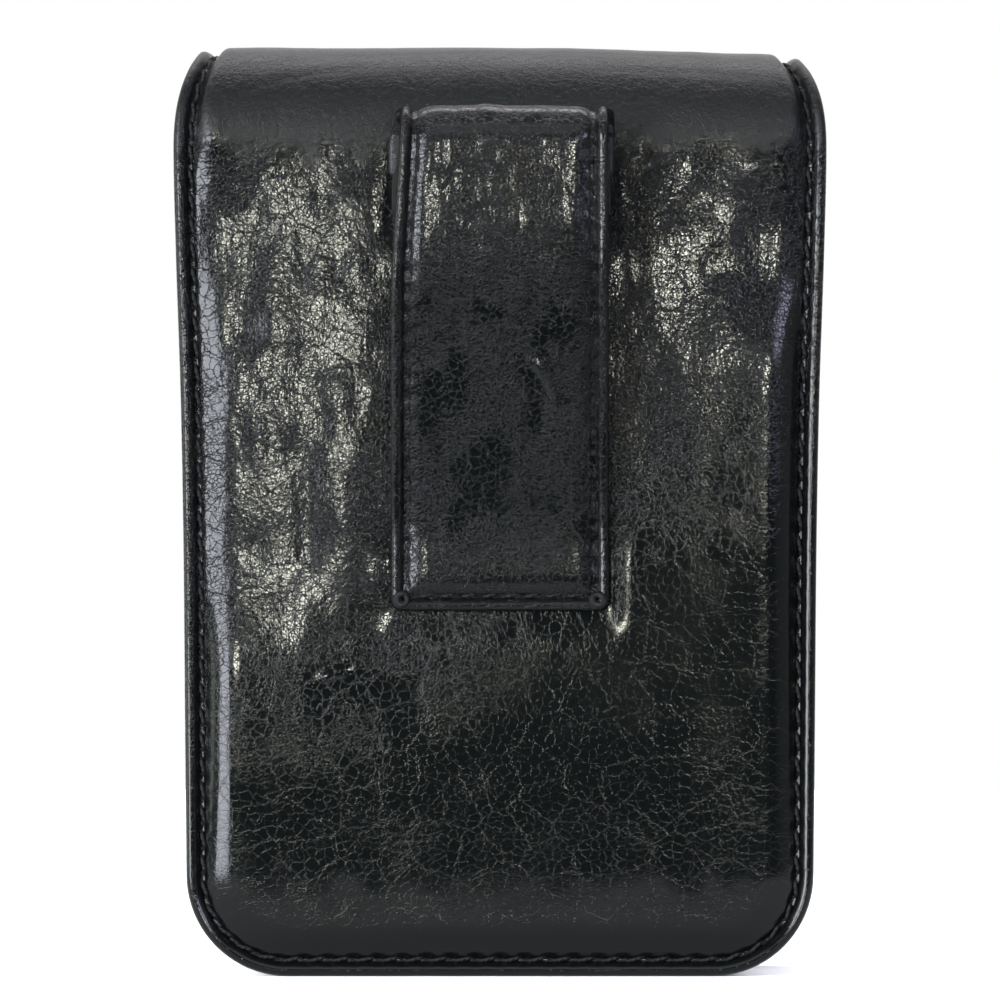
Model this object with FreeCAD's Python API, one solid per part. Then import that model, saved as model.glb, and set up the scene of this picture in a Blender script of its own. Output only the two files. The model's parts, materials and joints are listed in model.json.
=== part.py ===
import FreeCAD, Part
import math
import os

# Upright leather belt pouch for a compact camera. X runs across the pouch, +Z is up, the belt loop is
# on the -Y side and the flap's free end hangs on the +Y side. The origin is at the middle of the base.
# Millimetres.

# Overall
height = 133.0
roll_radius = 14.0          # the flap rolls over the top of the back
fold_radius = 12.0          # and folds down over the front
mouth_front = 112.0         # top edge of the front panel
mouth_back = 118.0          # top edge of the gusset where it meets the back

# Outline of the back and front panels, seen from the front: half widths at heights
corner_radius = 14.5
foot_half_width = 44.8
waist_half_width, waist_height = 45.2, 62.0
chest_half_width, chest_height = 46.6, 118.0
shoulder_half_width, shoulder_height = 45.9, 127.0
flap_half_width = 43.8

# Outline of the flap's hanging front
flap_bottom = 56.0
flap_corner = 18.0
flap_foot_half_width = 42.3
flap_waist_half_width, flap_waist_height = 43.4, 105.0

# Thicknesses
hide = 1.4
foam = 2.0
board = 0.8
lining = 0.6
gusset_hide = 1.2
gusset_board = 0.8
flap_foam = 1.2

# Edges and seams
rim = 4.0                   # width of the flat stitched rim round each padded panel
flange_inset = 0.3          # the gusset's turned-out flange stops short of the panel's edge
seam_inset = 2.4
fit = 0.2                   # play round a board that lies inside a flange
body_gap = 0.3              # between pieces that move against each other

# Depth
gusset_depth = 34.0
closing_gap = 3.0           # between the front panel and the closed flap, filled by the press stud

# Belt loop
loop_half_width = 15.6
loop_bottom = 52.2
loop_under_end = 106.0      # lower end of the turned-under layer
loop_hide = 1.2
loop_core = 0.6
loop_lining = 0.8
loop_slot = 4.8             # clear gap for the belt
loop_slope = 22.0           # degrees, where the strap comes in to the panel
loop_slope_radii = (22.0, 16.0)
loop_foot = 8.8             # flat length sewn down at the bottom

# Stitches
stitch_pitch = 3.5
stitch_length = 2.6
stitch_width = 0.7
stitch_height = 0.35

# Press stud
snap_height = 70.0
cap_radius, cap_rim, cap_dome = 6.25, 0.5, 0.9
rivet_radius = 1.5
socket_radius, socket_depth, socket_roof, socket_bore = 5.5, 2.0, 0.4, 3.2
stud_flange_radius, stud_flange = 4.4, 0.6
stud_knob_radius, stud_knob = 2.2, 1.8
stud_bore_depth = 1.0

# Derived depths, counted from the outer face of the padded back
pad_rise = foam
flange_out = pad_rise
flange_in = flange_out + hide
gusset_back = flange_in
gusset_front = gusset_back + gusset_depth
front_flange_out = gusset_front + hide
front_face = front_flange_out + pad_rise
flap_stack = hide + flap_foam + board + lining
body_depth = front_face + closing_gap + flap_stack
cap_height = cap_rim + cap_dome
loop_stack = loop_hide + loop_core + loop_lining
loop_proud = 2 * loop_stack + loop_slot
back_lining_out = flange_in + board
back_lining_in = back_lining_out + lining
front_lining_out = gusset_front - board
front_lining_in = front_lining_out - lining
pad_y = -(body_depth + cap_height - loop_proud - stitch_height) / 2
roll_height = height - roll_radius
fold_height = height - fold_radius
inner_wall = rim + hide     # inset of the padding's pocket
board_inset = inner_wall + fit


def point(x, depth, z):
    """A point at a depth counted from the outer face of the padded back."""
    return FreeCAD.Vector(x, pad_y + depth, z)


def block(half_width, depths, heights):
    """A box centred across the pouch."""
    corner = point(-half_width, depths[0], heights[0])
    return Part.makeBox(2 * half_width, depths[1] - depths[0], heights[1] - heights[0], corner)


def disc(radius, start, length):
    """A round bar on the press stud's line, running towards the front from a depth."""
    return Part.makeCylinder(radius, length, point(0, start, snap_height), FreeCAD.Vector(0, 1, 0))


class Outline:
    """A shape seen from the front: round lower corners, then arcs up each side."""

    def __init__(self, bottom, corner, low, arcs):
        self.bottom = bottom
        self.corner = corner
        self.low = low
        self.arcs = arcs

    def right_side(self, inset):
        """Edges from the middle of the base to the top of the right side."""
        base = self.bottom + inset
        middle = self.bottom + self.corner
        start = self.low - self.corner
        reach = self.corner - inset
        slant = reach * math.sqrt(0.5)
        edges = [Part.makeLine(point(0, 0, base), point(start, 0, base))]
        turn = Part.Arc(
            point(start, 0, base),
            point(start + slant, 0, middle - slant),
            point(self.low - inset, 0, middle),
        )
        edges.append(turn.toShape())
        last = (self.low, middle)
        for through, end in self.arcs:
            places = [point(width - inset, 0, z) for width, z in (last, through, end)]
            edges.append(Part.Arc(*places).toShape())
            last = end
        return edges

    def open_wire(self, inset):
        """The outline from the top left, round the base, to the top right."""
        right = self.right_side(inset)
        left = [edge.mirror(FreeCAD.Vector(), FreeCAD.Vector(1, 0, 0)) for edge in right]
        return Part.Wire(Part.__sortEdges__(left + right))

    def prism(self, inset, depths, heights=(-1.0, height + 1.0)):
        """The inset outline as a solid between two depths, cut to a range of heights."""
        half, top = self.arcs[-1][1]
        half -= inset
        lid = Part.makeLine(point(half, 0, top), point(-half, 0, top))
        wire = Part.Wire(Part.__sortEdges__(self.open_wire(inset).Edges + [lid]))
        solid = Part.Face(wire).extrude(FreeCAD.Vector(0, depths[1] - depths[0], 0))
        solid.translate(FreeCAD.Vector(0, depths[0], 0))
        return solid.common(block(chest_half_width + 5, (depths[0] - 1, depths[1] + 1), heights))

    def ring(self, outer, inner, depths, heights=(-1.0, height + 1.0)):
        """The band between two insets."""
        hole = self.prism(inner, (depths[0] - 1, depths[1] + 1), (heights[0] - 1, heights[1] + 1))
        return self.prism(outer, depths, heights).cut(hole)


class Path:
    """Lines and tangent arcs in a side view, laid from a start and a heading in degrees from +Y."""

    def __init__(self, depth, z, heading):
        self.at = (depth, z)
        self.heading = math.radians(heading)
        self.runs = []

    def side(self, place, heading, offset):
        """A place moved to the right of its heading."""
        return (place[0] + offset * math.sin(heading), place[1] - offset * math.cos(heading))

    def line(self, length):
        """A straight run ahead."""
        start, heading = self.at, self.heading

        def along(distance):
            ahead = (distance * math.cos(heading), distance * math.sin(heading))
            return (start[0] + ahead[0], start[1] + ahead[1]), heading

        self.runs.append((length, along, None))
        self.at = along(length)[0]
        return self

    def turn(self, radius, degrees):
        """An arc; a positive angle turns right, towards the layers."""
        angle = math.radians(degrees)
        hand = 1 if degrees > 0 else -1
        centre = self.side(self.at, self.heading, hand * radius)
        first = self.heading

        def along(distance):
            heading = first - hand * distance / radius
            return self.side(centre, heading, -hand * radius), heading

        length = radius * abs(angle)
        self.runs.append((length, along, hand))
        self.at, self.heading = along(length)
        return self

    def edge(self, run, offset, x):
        """One run of the path, moved to the right, at a place across the pouch."""
        length, along, hand = run
        places = []
        for share in (0.0, 0.5, 1.0):
            place, heading = along(share * length)
            places.append(point(x, *self.side(place, heading, offset)))
        if hand is None:
            return Part.makeLine(places[0], places[2])
        return Part.Arc(*places).toShape()

    def band(self, near, far, half_width):
        """A layer between two offsets, right across the pouch."""
        x = -half_width
        near_edges = [self.edge(run, near, x) for run in self.runs]
        far_edges = [self.edge(run, far, x) for run in self.runs]
        first, last = near_edges[0], near_edges[-1]
        ends = [
            Part.makeLine(first.firstVertex().Point, far_edges[0].firstVertex().Point),
            Part.makeLine(last.lastVertex().Point, far_edges[-1].lastVertex().Point),
        ]
        wire = Part.Wire(Part.__sortEdges__(near_edges + far_edges + ends))
        return Part.Face(wire).extrude(FreeCAD.Vector(2 * half_width, 0, 0))

    def places(self, pitch, start, end):
        """Evenly spaced places on the path, clear of both ends: (depth, z, heading)."""
        total = sum(run[0] for run in self.runs) - start - end
        count = int(total / pitch)
        found = []
        for number in range(count + 1):
            left = start + (total - count * pitch) / 2 + number * pitch
            for length, along, _ in self.runs:
                if left <= length:
                    place, heading = along(left)
                    found.append((place[0], place[1], heading))
                    break
                left -= length
        return found


def stitch(centre, along, out):
    """One stitch lying on a surface."""
    across = out.cross(along)
    corner = FreeCAD.Vector(-stitch_length / 2, -stitch_width / 2, 0)
    bar = Part.makeBox(stitch_length, stitch_width, stitch_height, corner)
    bar.Placement = FreeCAD.Placement(centre, FreeCAD.Rotation(along, across, out, "ZXY"))
    return bar


def flat_row(wire, depth, out, top):
    """Stitches along a wire, moved to a depth, up to a height."""
    steps = 8
    places = wire.discretize(Distance=stitch_pitch / steps)
    bars = []
    for number in range(steps, len(places) - steps, steps):
        centre = places[number]
        if centre.z < top - stitch_length / 2:
            along = (places[number + 1] - places[number - 1]).normalize()
            bars.append(stitch(centre + FreeCAD.Vector(0, depth, 0), along, out))
    return bars


def side_rows(path, half_width, hand, start=stitch_length, end=stitch_length):
    """Stitches on a path's face at both sides of the pouch; hand 1 faces left of the heading."""
    bars = []
    for depth, z, heading in path.places(stitch_pitch, start, end):
        along = FreeCAD.Vector(0, math.cos(heading), math.sin(heading))
        out = FreeCAD.Vector(0, -hand * math.sin(heading), hand * math.cos(heading))
        for x in (-half_width, half_width):
            bars.append(stitch(point(x, depth, z), along, out))
    return bars


def cross_row(half_width, depth, z, out):
    """A straight row of stitches across the pouch."""
    count = int(2 * half_width / stitch_pitch)
    first = -count * stitch_pitch / 2
    along = FreeCAD.Vector(1, 0, 0)
    spots = [point(first + number * stitch_pitch, depth, z) for number in range(count + 1)]
    return [stitch(spot, along, out) for spot in spots]


panel = Outline(
    0.0,
    corner_radius,
    foot_half_width,
    [
        ((waist_half_width, waist_height), (chest_half_width, chest_height)),
        ((shoulder_half_width, shoulder_height), (flap_half_width, height)),
    ],
)
flap = Outline(
    flap_bottom,
    flap_corner,
    flap_foot_half_width,
    [((flap_waist_half_width, flap_waist_height), (flap_half_width, height))],
)

gap_at_roll = math.degrees(body_gap / 2 / roll_radius)
gap_at_fold = math.degrees(body_gap / 2 / fold_radius)
rearward = FreeCAD.Vector(0, -1, 0)
forward = FreeCAD.Vector(0, 1, 0)


def back_roll_path():
    """The half of the top roll that stays with the pouch."""
    return Path(0, roll_height, 90).turn(roll_radius, 45 - gap_at_roll)


def flap_top_path():
    """The other half of the roll, the flat top and half of the front fold."""
    whole = Path(0, roll_height, 90).turn(roll_radius, 45 + gap_at_roll)
    path = Path(*whole.at, math.degrees(whole.heading))
    path.turn(roll_radius, 45 - gap_at_roll)
    path.line(body_depth - roll_radius - fold_radius)
    return path.turn(fold_radius, 45 - gap_at_fold)


def flap_front_path():
    """The rest of the front fold and the hanging front."""
    whole = Path(body_depth - fold_radius, height, 0).turn(fold_radius, 45 + gap_at_fold)
    path = Path(*whole.at, math.degrees(whole.heading))
    return path.turn(fold_radius, 45 - gap_at_fold).line(fold_height - flap_bottom)


def loop_path():
    """The belt loop's outer face: up the panel, over the turn, down and in to its sewn foot."""
    first, second = loop_slope_radii
    slope = math.radians(loop_slope)
    inward = loop_proud - loop_stack - (first + second) * (1 - math.cos(slope))
    run = inward / math.sin(slope)
    drop = (first + second) * math.sin(slope) + run * math.cos(slope)
    path = Path(0, loop_under_end, 90).line(roll_height - loop_under_end)
    path.turn(loop_proud / 2, -180)
    path.line(roll_height - loop_bottom - loop_foot - drop)
    path.turn(first, -loop_slope).line(run).turn(second, loop_slope)
    return path.line(loop_foot)


def flap_trim(inset):
    """The flap top's outline: the panel's over the roll, the flap's in front of it."""
    rear = panel.prism(inset, (-1, roll_radius))
    return rear.fuse(flap.prism(inset, (roll_radius, body_depth + 1)))


def below_mouth(solid):
    """Cut a gusset layer along the mouth, which slopes from the back to the front."""
    wide = chest_half_width + 5
    corners = [
        point(-wide, gusset_back - 1, mouth_back),
        point(-wide, gusset_back, mouth_back),
        point(-wide, gusset_front, mouth_front),
        point(-wide, gusset_front + 1, mouth_front),
        point(-wide, gusset_front + 1, height),
        point(-wide, gusset_back - 1, height),
    ]
    lid = Part.Face(Part.makePolygon(corners + corners[:1])).extrude(FreeCAD.Vector(2 * wide, 0, 0))
    return solid.cut(lid)


def make_back():
    """Hide, padding, board and lining of the back, up to the middle of the roll."""
    low = (-1.0, roll_height)
    wide = chest_half_width + 5
    roll = back_roll_path()
    whole = panel.prism(0, (-1, roll_radius))
    face = panel.prism(rim, (0, hide), low)
    wall = panel.ring(rim, inner_wall, (0, flange_in), low)
    flange = panel.ring(0, inner_wall, (flange_out, flange_in), low)
    over = roll.band(0, hide, wide).common(whole)
    padding = panel.prism(inner_wall, (hide, flange_in), low)
    roll_padding = roll.band(hide, back_lining_out, wide).common(panel.prism(rim, (-1, roll_radius)))
    inner = panel.prism(board_inset, (back_lining_out, back_lining_in), low)
    roll_inner = roll.band(back_lining_out, back_lining_in, wide)
    return {
        "back_panel": face.fuse([wall, flange, over]).removeSplitter(),
        "back_foam": padding.fuse(roll_padding).removeSplitter(),
        "back_board": panel.prism(board_inset, (flange_in, back_lining_out), (-1.0, mouth_back)),
        "back_lining": inner.fuse(
            roll_inner.common(panel.prism(board_inset, (-1, roll_radius)))
        ).removeSplitter(),
    }


def make_front():
    """Hide, padding, board and lining of the front, with a turned hem along the mouth."""
    low = (-1.0, mouth_front)
    pocket = (-1.0, mouth_front - hide)
    skin = panel.prism(rim, (front_face - hide, front_face), low)
    wall = panel.ring(rim, inner_wall, (gusset_front, front_face), low)
    flange = panel.ring(0, inner_wall, (gusset_front, front_flange_out), low)
    hem = panel.prism(rim, (gusset_front, front_face), (mouth_front - hide, mouth_front))
    shell = skin.fuse([wall, flange, hem]).removeSplitter()
    padding = panel.prism(inner_wall, (gusset_front, front_face - hide), pocket)
    return {
        "front_panel": shell.cut(disc(rivet_radius, gusset_front, front_face)),
        "front_foam": padding.cut(disc(stud_flange_radius, front_face - hide - stud_flange, hide)),
        "front_board": panel.prism(board_inset, (front_lining_out, gusset_front), low),
        "front_lining": panel.prism(board_inset, (front_lining_in, front_lining_out), low),
    }


def make_gusset():
    """The strip round both sides and the base, with its flanges turned outwards."""
    inner = rim + gusset_hide
    wall = panel.ring(rim, inner, (gusset_back, gusset_front))
    rear = panel.ring(flange_inset, inner, (gusset_back, gusset_back + gusset_hide))
    ahead = panel.ring(flange_inset, inner, (gusset_front - gusset_hide, gusset_front))
    stiff = inner + gusset_board
    inside = (back_lining_in, front_lining_in)
    return {
        "gusset": below_mouth(wall.fuse([rear, ahead]).removeSplitter()),
        "gusset_board": below_mouth(panel.ring(inner, stiff, inside)),
        "gusset_lining": below_mouth(panel.ring(stiff, stiff + lining, inside)),
    }


def make_flap_top():
    """The part of the flap that covers the mouth."""
    path = flap_top_path()
    wide = chest_half_width + 5
    padding_in = flap_stack - lining
    flat = (roll_radius, body_depth - fold_radius)
    sheet = block(flap_half_width - rim, flat, (height - padding_in, height - hide - flap_foam))
    padding = path.band(hide, padding_in, wide).common(flap_trim(inner_wall))
    return {
        "flap_top_hide": path.band(0, hide, wide).common(flap_trim(0)).removeSplitter(),
        "flap_top_foam": padding.cut(sheet).removeSplitter(),
        "flap_top_board": sheet.common(flap_trim(inner_wall)).removeSplitter(),
        "flap_top_lining": path.band(padding_in, flap_stack, wide)
        .common(flap_trim(flange_inset))
        .removeSplitter(),
    }


def make_flap_front():
    """The hanging front of the flap, pierced for the press stud's cap."""
    path = flap_front_path()
    wide = chest_half_width + 5
    padding_in = flap_stack - lining
    depths = (front_face, body_depth + 1)
    sheet = flap.prism(
        inner_wall,
        (body_depth - padding_in, body_depth - hide - flap_foam),
        (-1.0, fold_height),
    )
    layers = {
        "flap_front_hide": path.band(0, hide, wide).common(flap.prism(0, depths)),
        "flap_front_foam": path.band(hide, padding_in, wide)
        .common(flap.prism(inner_wall, depths))
        .cut(sheet),
        "flap_front_board": sheet,
        "flap_front_lining": path.band(padding_in, flap_stack, wide).common(
            flap.prism(flange_inset, depths)
        ),
    }
    hole = disc(rivet_radius, front_face, body_depth)
    return {name: layer.cut(hole) for name, layer in layers.items()}


def make_snap():
    """Press stud: domed cap and socket on the flap, knob and back post on the front panel."""
    flap_in = body_depth - flap_stack
    bulge = (cap_radius**2 + cap_dome**2) / (2 * cap_dome)
    dome = Part.makeSphere(bulge, point(0, body_depth + cap_height - bulge, snap_height))
    rim_disc = disc(cap_radius, body_depth, cap_rim)
    cap = rim_disc.fuse(dome.common(disc(cap_radius, body_depth + cap_rim, cap_dome + 1)))
    post = disc(rivet_radius, flap_in - socket_roof, flap_stack + socket_roof)
    socket = disc(socket_radius, flap_in - socket_depth, socket_depth)
    socket = socket.cut(disc(socket_bore, flap_in - socket_depth - 1, 1 + socket_depth - socket_roof))
    knob = disc(stud_knob_radius, front_face + stud_flange, stud_knob)
    knob = knob.makeFillet(0.6, [edge for edge in knob.Edges if edge.BoundBox.YLength < 1e-6][:1])
    stud = disc(stud_flange_radius, front_face, stud_flange).fuse(knob).removeSplitter()
    plate = disc(stud_flange_radius, front_face - hide - stud_flange, stud_flange)
    shank = disc(rivet_radius, front_face - hide, hide + stud_bore_depth)
    return {
        "snap_cap": cap.fuse(post).removeSplitter(),
        "snap_socket": socket.cut(disc(rivet_radius, flap_in - socket_depth, socket_depth)),
        "snap_stud": stud.cut(disc(rivet_radius, front_face - 1, 1 + stud_bore_depth)),
        "snap_stud_post": plate.fuse(shank).removeSplitter(),
    }


def make_loop():
    """Belt loop: hide, webbing core and inner leather, all bent along one path."""
    path = loop_path()
    core_near, core_far = -loop_hide, -loop_hide - loop_core
    return {
        "loop_strap": path.band(0, -loop_hide, loop_half_width),
        "loop_core": path.band(core_near, core_far, loop_half_width - rim),
        "loop_lining": path.band(core_far, -loop_stack, loop_half_width - 0.6),
    }


def make_threads():
    """Every seam's stitches, one node for each seam."""
    seam = panel.open_wire(seam_inset)
    flap_seam = flap.open_wire(seam_inset)
    strap = loop_path()
    strap_row = loop_half_width - seam_inset
    strap_start = roll_height - loop_under_end + loop_proud
    shoulder_row = flap_half_width - seam_inset
    back_rows = flat_row(seam, flange_out, rearward, roll_height)
    back_rows += side_rows(back_roll_path(), shoulder_row, 1)
    return {
        "back_seam_thread": back_rows,
        "front_seam_thread": flat_row(seam, front_flange_out, forward, mouth_front),
        "mouth_thread": cross_row(36.0, front_face, mouth_front - seam_inset, forward),
        "flap_top_thread": side_rows(flap_top_path(), shoulder_row, 1),
        "flap_front_thread": flat_row(flap_seam, body_depth, forward, fold_height),
        "loop_side_thread": side_rows(strap, strap_row, -1, strap_start, stitch_pitch),
        "loop_bottom_thread": cross_row(
            strap_row - stitch_pitch, -loop_stack, loop_bottom + seam_inset, rearward
        ),
        "loop_top_thread": cross_row(
            strap_row - stitch_pitch, -loop_stack, loop_under_end + seam_inset, rearward
        ),
    }


def main():
    pieces = {}
    for maker in (make_back, make_front, make_gusset, make_flap_top, make_flap_front, make_snap, make_loop):
        pieces.update(maker())
    for name, bars in make_threads().items():
        pieces[name] = Part.makeCompound(bars)
    os.makedirs("parts", exist_ok=True)
    for name, shape in pieces.items():
        shape.exportStep(f"parts/{name}.step")
        print(f"{name}: {len(shape.Solids)} solids, {shape.Volume:.0f} mm3, valid {shape.isValid()}")
    print("hinge axis", 0, pad_y + roll_radius * (1 - math.pi / 4), height - roll_radius * (1 - math.pi / 4))
    fold = fold_radius * (1 - math.pi / 4)
    print("fold axis", 0, pad_y + body_depth - fold, height - fold)
    print("back face at", pad_y, "front face of flap at", pad_y + body_depth)


main()
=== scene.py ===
import json
import logging
import math
from contextlib import contextmanager
from dataclasses import dataclass, field
from enum import Enum
from typing import Callable, Iterator, Sequence

import bmesh
import bpy
import numpy as np
from mathutils import Matrix, Vector


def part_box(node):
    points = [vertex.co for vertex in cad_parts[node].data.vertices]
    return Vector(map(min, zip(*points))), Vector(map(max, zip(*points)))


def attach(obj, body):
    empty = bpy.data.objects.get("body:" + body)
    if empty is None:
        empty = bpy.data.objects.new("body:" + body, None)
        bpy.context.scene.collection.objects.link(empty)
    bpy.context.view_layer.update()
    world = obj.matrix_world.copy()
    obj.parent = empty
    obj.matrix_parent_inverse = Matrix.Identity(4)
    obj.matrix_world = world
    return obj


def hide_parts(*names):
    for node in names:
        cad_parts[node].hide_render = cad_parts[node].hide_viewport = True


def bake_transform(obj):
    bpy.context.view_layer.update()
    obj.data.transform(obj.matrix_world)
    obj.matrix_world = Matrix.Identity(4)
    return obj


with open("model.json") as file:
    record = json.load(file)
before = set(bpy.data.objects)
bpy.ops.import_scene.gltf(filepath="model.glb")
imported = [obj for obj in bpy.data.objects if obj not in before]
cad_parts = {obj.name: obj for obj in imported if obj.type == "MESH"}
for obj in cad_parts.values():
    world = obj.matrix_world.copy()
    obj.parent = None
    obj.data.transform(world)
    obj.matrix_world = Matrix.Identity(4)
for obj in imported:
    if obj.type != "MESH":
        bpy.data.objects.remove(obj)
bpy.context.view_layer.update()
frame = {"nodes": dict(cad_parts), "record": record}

log = logging.getLogger("pouch")
MM = 0.001
Array = np.ndarray
Object = bpy.types.Object
Material = bpy.types.Material
Knots = tuple[tuple[float, float], ...]
Warp = Callable[[Array, Array], tuple[Array, Array]]


# ---------------------------------------------------------------- small mesh helpers


def linear(code: str) -> tuple[float, float, float, float]:
    """Turn an sRGB hex colour into linear values.

    Args:
        code: the colour as "#rrggbb".

    Returns:
        Linear red, green, blue and an alpha of 1.
    """
    parts = [int(code[i:i + 2], 16) / 255 for i in (1, 3, 5)]
    red, green, blue = (p / 12.92 if p <= 0.04045 else ((p + 0.055) / 1.055) ** 2.4 for p in parts)
    return red, green, blue, 1.0


def smooth(value: Array) -> Array:
    """Ease a value from 0 to 1 with flat ends."""
    value = np.clip(value, 0.0, 1.0)
    return value * value * (3 - 2 * value)


def follow(value: Array, knots: Sequence[tuple[float, float]]) -> Array:
    """Read a smooth curve through knots.

    Args:
        value: where to read it.
        knots: (place, height) pairs in rising order of place.

    Returns:
        The curve's height, held level past both ends.
    """
    at = np.array([k[0] for k in knots], float)
    height = np.array([k[1] for k in knots], float)
    slope = np.gradient(height, at)
    flat = (height[1:-1] - height[:-2]) * (height[2:] - height[1:-1]) <= 0
    slope[1:-1][flat] = 0.0
    value = np.clip(np.asarray(value, float), at[0], at[-1])
    index = np.clip(np.searchsorted(at, value, side="right") - 1, 0, len(at) - 2)
    width = at[index + 1] - at[index]
    t = (value - at[index]) / width
    rise = (2 * t**3 - 3 * t**2 + 1) * height[index] + (3 * t**2 - 2 * t**3) * height[index + 1]
    lean = (t**3 - 2 * t**2 + t) * slope[index] + (t**3 - t**2) * slope[index + 1]
    return rise + width * lean


def swell(x: Array, s: Array, size_x: float, size_s: float, seed: int) -> Array:
    """Soft random lumps over a flat pattern.

    Args:
        x: places across, in mm.
        s: places along, in mm.
        size_x: width of a lump, in mm.
        size_s: length of a lump, in mm.
        seed: picks the pattern.

    Returns:
        Heights from about -1 to 1.
    """
    cells = 96
    table = np.random.default_rng(seed).uniform(-1, 1, (cells, cells))
    u, v = np.asarray(x) / size_x + 40.5, np.asarray(s) / size_s + 20.5
    i, j = np.floor(u).astype(int), np.floor(v).astype(int)
    tu, tv = smooth(u - i), smooth(v - j)
    i0, i1, j0, j1 = i % cells, (i + 1) % cells, j % cells, (j + 1) % cells
    near = table[i0, j0] * (1 - tu) + table[i1, j0] * tu
    far = table[i0, j1] * (1 - tu) + table[i1, j1] * tu
    return near * (1 - tv) + far * tv


@contextmanager
def editing(piece: Object) -> Iterator[bmesh.types.BMesh]:
    """Open a piece in edit mode with nothing selected, and close it afterwards."""
    bpy.ops.object.select_all(action="DESELECT")
    bpy.context.view_layer.objects.active = piece
    piece.select_set(True)
    bpy.ops.object.mode_set(mode="EDIT")
    bpy.ops.mesh.select_mode(type="EDGE")
    bpy.ops.mesh.select_all(action="DESELECT")
    yield bmesh.from_edit_mesh(piece.data)
    bpy.ops.object.mode_set(mode="OBJECT")


def unit_grid(name: str, columns: int, rows: int) -> Object:
    """Add a grid primitive whose corners are at 0 and 1.

    Args:
        name: the new piece's name.
        columns: cells across.
        rows: cells along.

    Returns:
        The grid.
    """
    bpy.ops.object.select_all(action="DESELECT")
    bpy.ops.mesh.primitive_grid_add(
        x_subdivisions=columns, y_subdivisions=rows, size=1, location=(0.5, 0.5, 0)
    )
    piece = bpy.context.object
    bpy.ops.object.transform_apply(location=True)
    piece.name = piece.data.name = name
    return piece


def joined(first: Object, others: Sequence[Object]) -> Object:
    """Join meshes.

    Args:
        first: the mesh that takes the others in.
        others: the meshes to add.

    Returns:
        The first mesh.
    """
    bpy.ops.object.select_all(action="DESELECT")
    for other in others:
        other.select_set(True)
    first.select_set(True)
    bpy.context.view_layer.objects.active = first
    bpy.ops.object.join()
    return first


def read_points(piece: Object) -> Array:
    """Give a mesh's vertices as rows of three."""
    points = np.zeros(len(piece.data.vertices) * 3)
    piece.data.vertices.foreach_get("co", points)
    return points.reshape(-1, 3)


def write_points(piece: Object, points: Array) -> None:
    """Put a mesh's vertices at rows of three."""
    piece.data.vertices.foreach_set("co", points.ravel())
    piece.data.update()


def write_lay(piece: Object, lay: Array) -> None:
    """Store where each vertex lies on its flat pattern, in mm, for the materials."""
    attribute = piece.data.attributes.new("lay", "FLOAT_VECTOR", "POINT")
    attribute.data.foreach_set("vector", lay.astype(np.float32).ravel())


def face_outwards(piece: Object, angle: float = 40.0) -> None:
    """Turn every face outwards and smooth all but sharp edges.

    Args:
        piece: the closed mesh.
        angle: edges sharper than this many degrees stay sharp.
    """
    with editing(piece):
        bpy.ops.mesh.select_all(action="SELECT")
        bpy.ops.mesh.normals_make_consistent(inside=False)
    bpy.ops.object.shade_smooth_by_angle(angle=math.radians(angle))


def dress(piece: Object, material: Material) -> None:
    """Give a piece one material."""
    piece.data.materials.clear()
    piece.data.materials.append(material)


# ---------------------------------------------------------------- courses and outlines


class Face(Enum):
    """Which side of a course shows."""

    LEFT = 1
    RIGHT = -1


class Course:
    """Lines and tangent arcs in the side view, followed by distance in mm.

    Args:
        y: where it starts, front to back.
        z: where it starts, in height.
        heading: degrees from +Y towards +Z.
        face: the side that shows.
    """

    def __init__(self, y: float, z: float, heading: float, face: Face) -> None:
        """Start a course with no runs yet."""
        self.face = face
        self.runs: list[tuple[float, float, float, float, float]] = []
        self.length = 0.0
        self._end = (y, z, math.radians(heading))

    def _add(self, length: float, bend: float) -> "Course":
        """Append a run and move the end along it."""
        y, z, heading = self._end
        self.runs.append((self.length, y, z, heading, bend))
        self.length += length
        ends = self.at(np.array([self.length]))
        self._end = (float(ends[0][0]), float(ends[1][0]), heading + bend * length)
        return self

    def line(self, length: float) -> "Course":
        """Go straight on."""
        return self._add(length, 0.0)

    def turn(self, radius: float, degrees: float) -> "Course":
        """Follow an arc; a positive angle turns left."""
        bend = math.copysign(1 / radius, degrees)
        return self._add(math.radians(abs(degrees)) * radius, bend)

    def at(self, s: Array) -> tuple[Array, Array, Array, Array]:
        """Places and outward directions.

        Args:
            s: distances along the course.

        Returns:
            y, z and the two parts of the outward direction.
        """
        y, z, turn = np.zeros_like(s), np.zeros_like(s), np.zeros_like(s)
        for start, y0, z0, heading, bend in self.runs:
            here = s >= start - 1e-9 if start else np.ones_like(s, bool)
            go = s[here] - start
            now = heading + bend * go
            if bend:
                y[here] = y0 + (np.sin(now) - math.sin(heading)) / bend
                z[here] = z0 - (np.cos(now) - math.cos(heading)) / bend
            else:
                y[here] = y0 + go * math.cos(heading)
                z[here] = z0 + go * math.sin(heading)
            turn[here] = now
        hand = self.face.value
        return y, z, -hand * np.sin(turn), hand * np.cos(turn)


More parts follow.
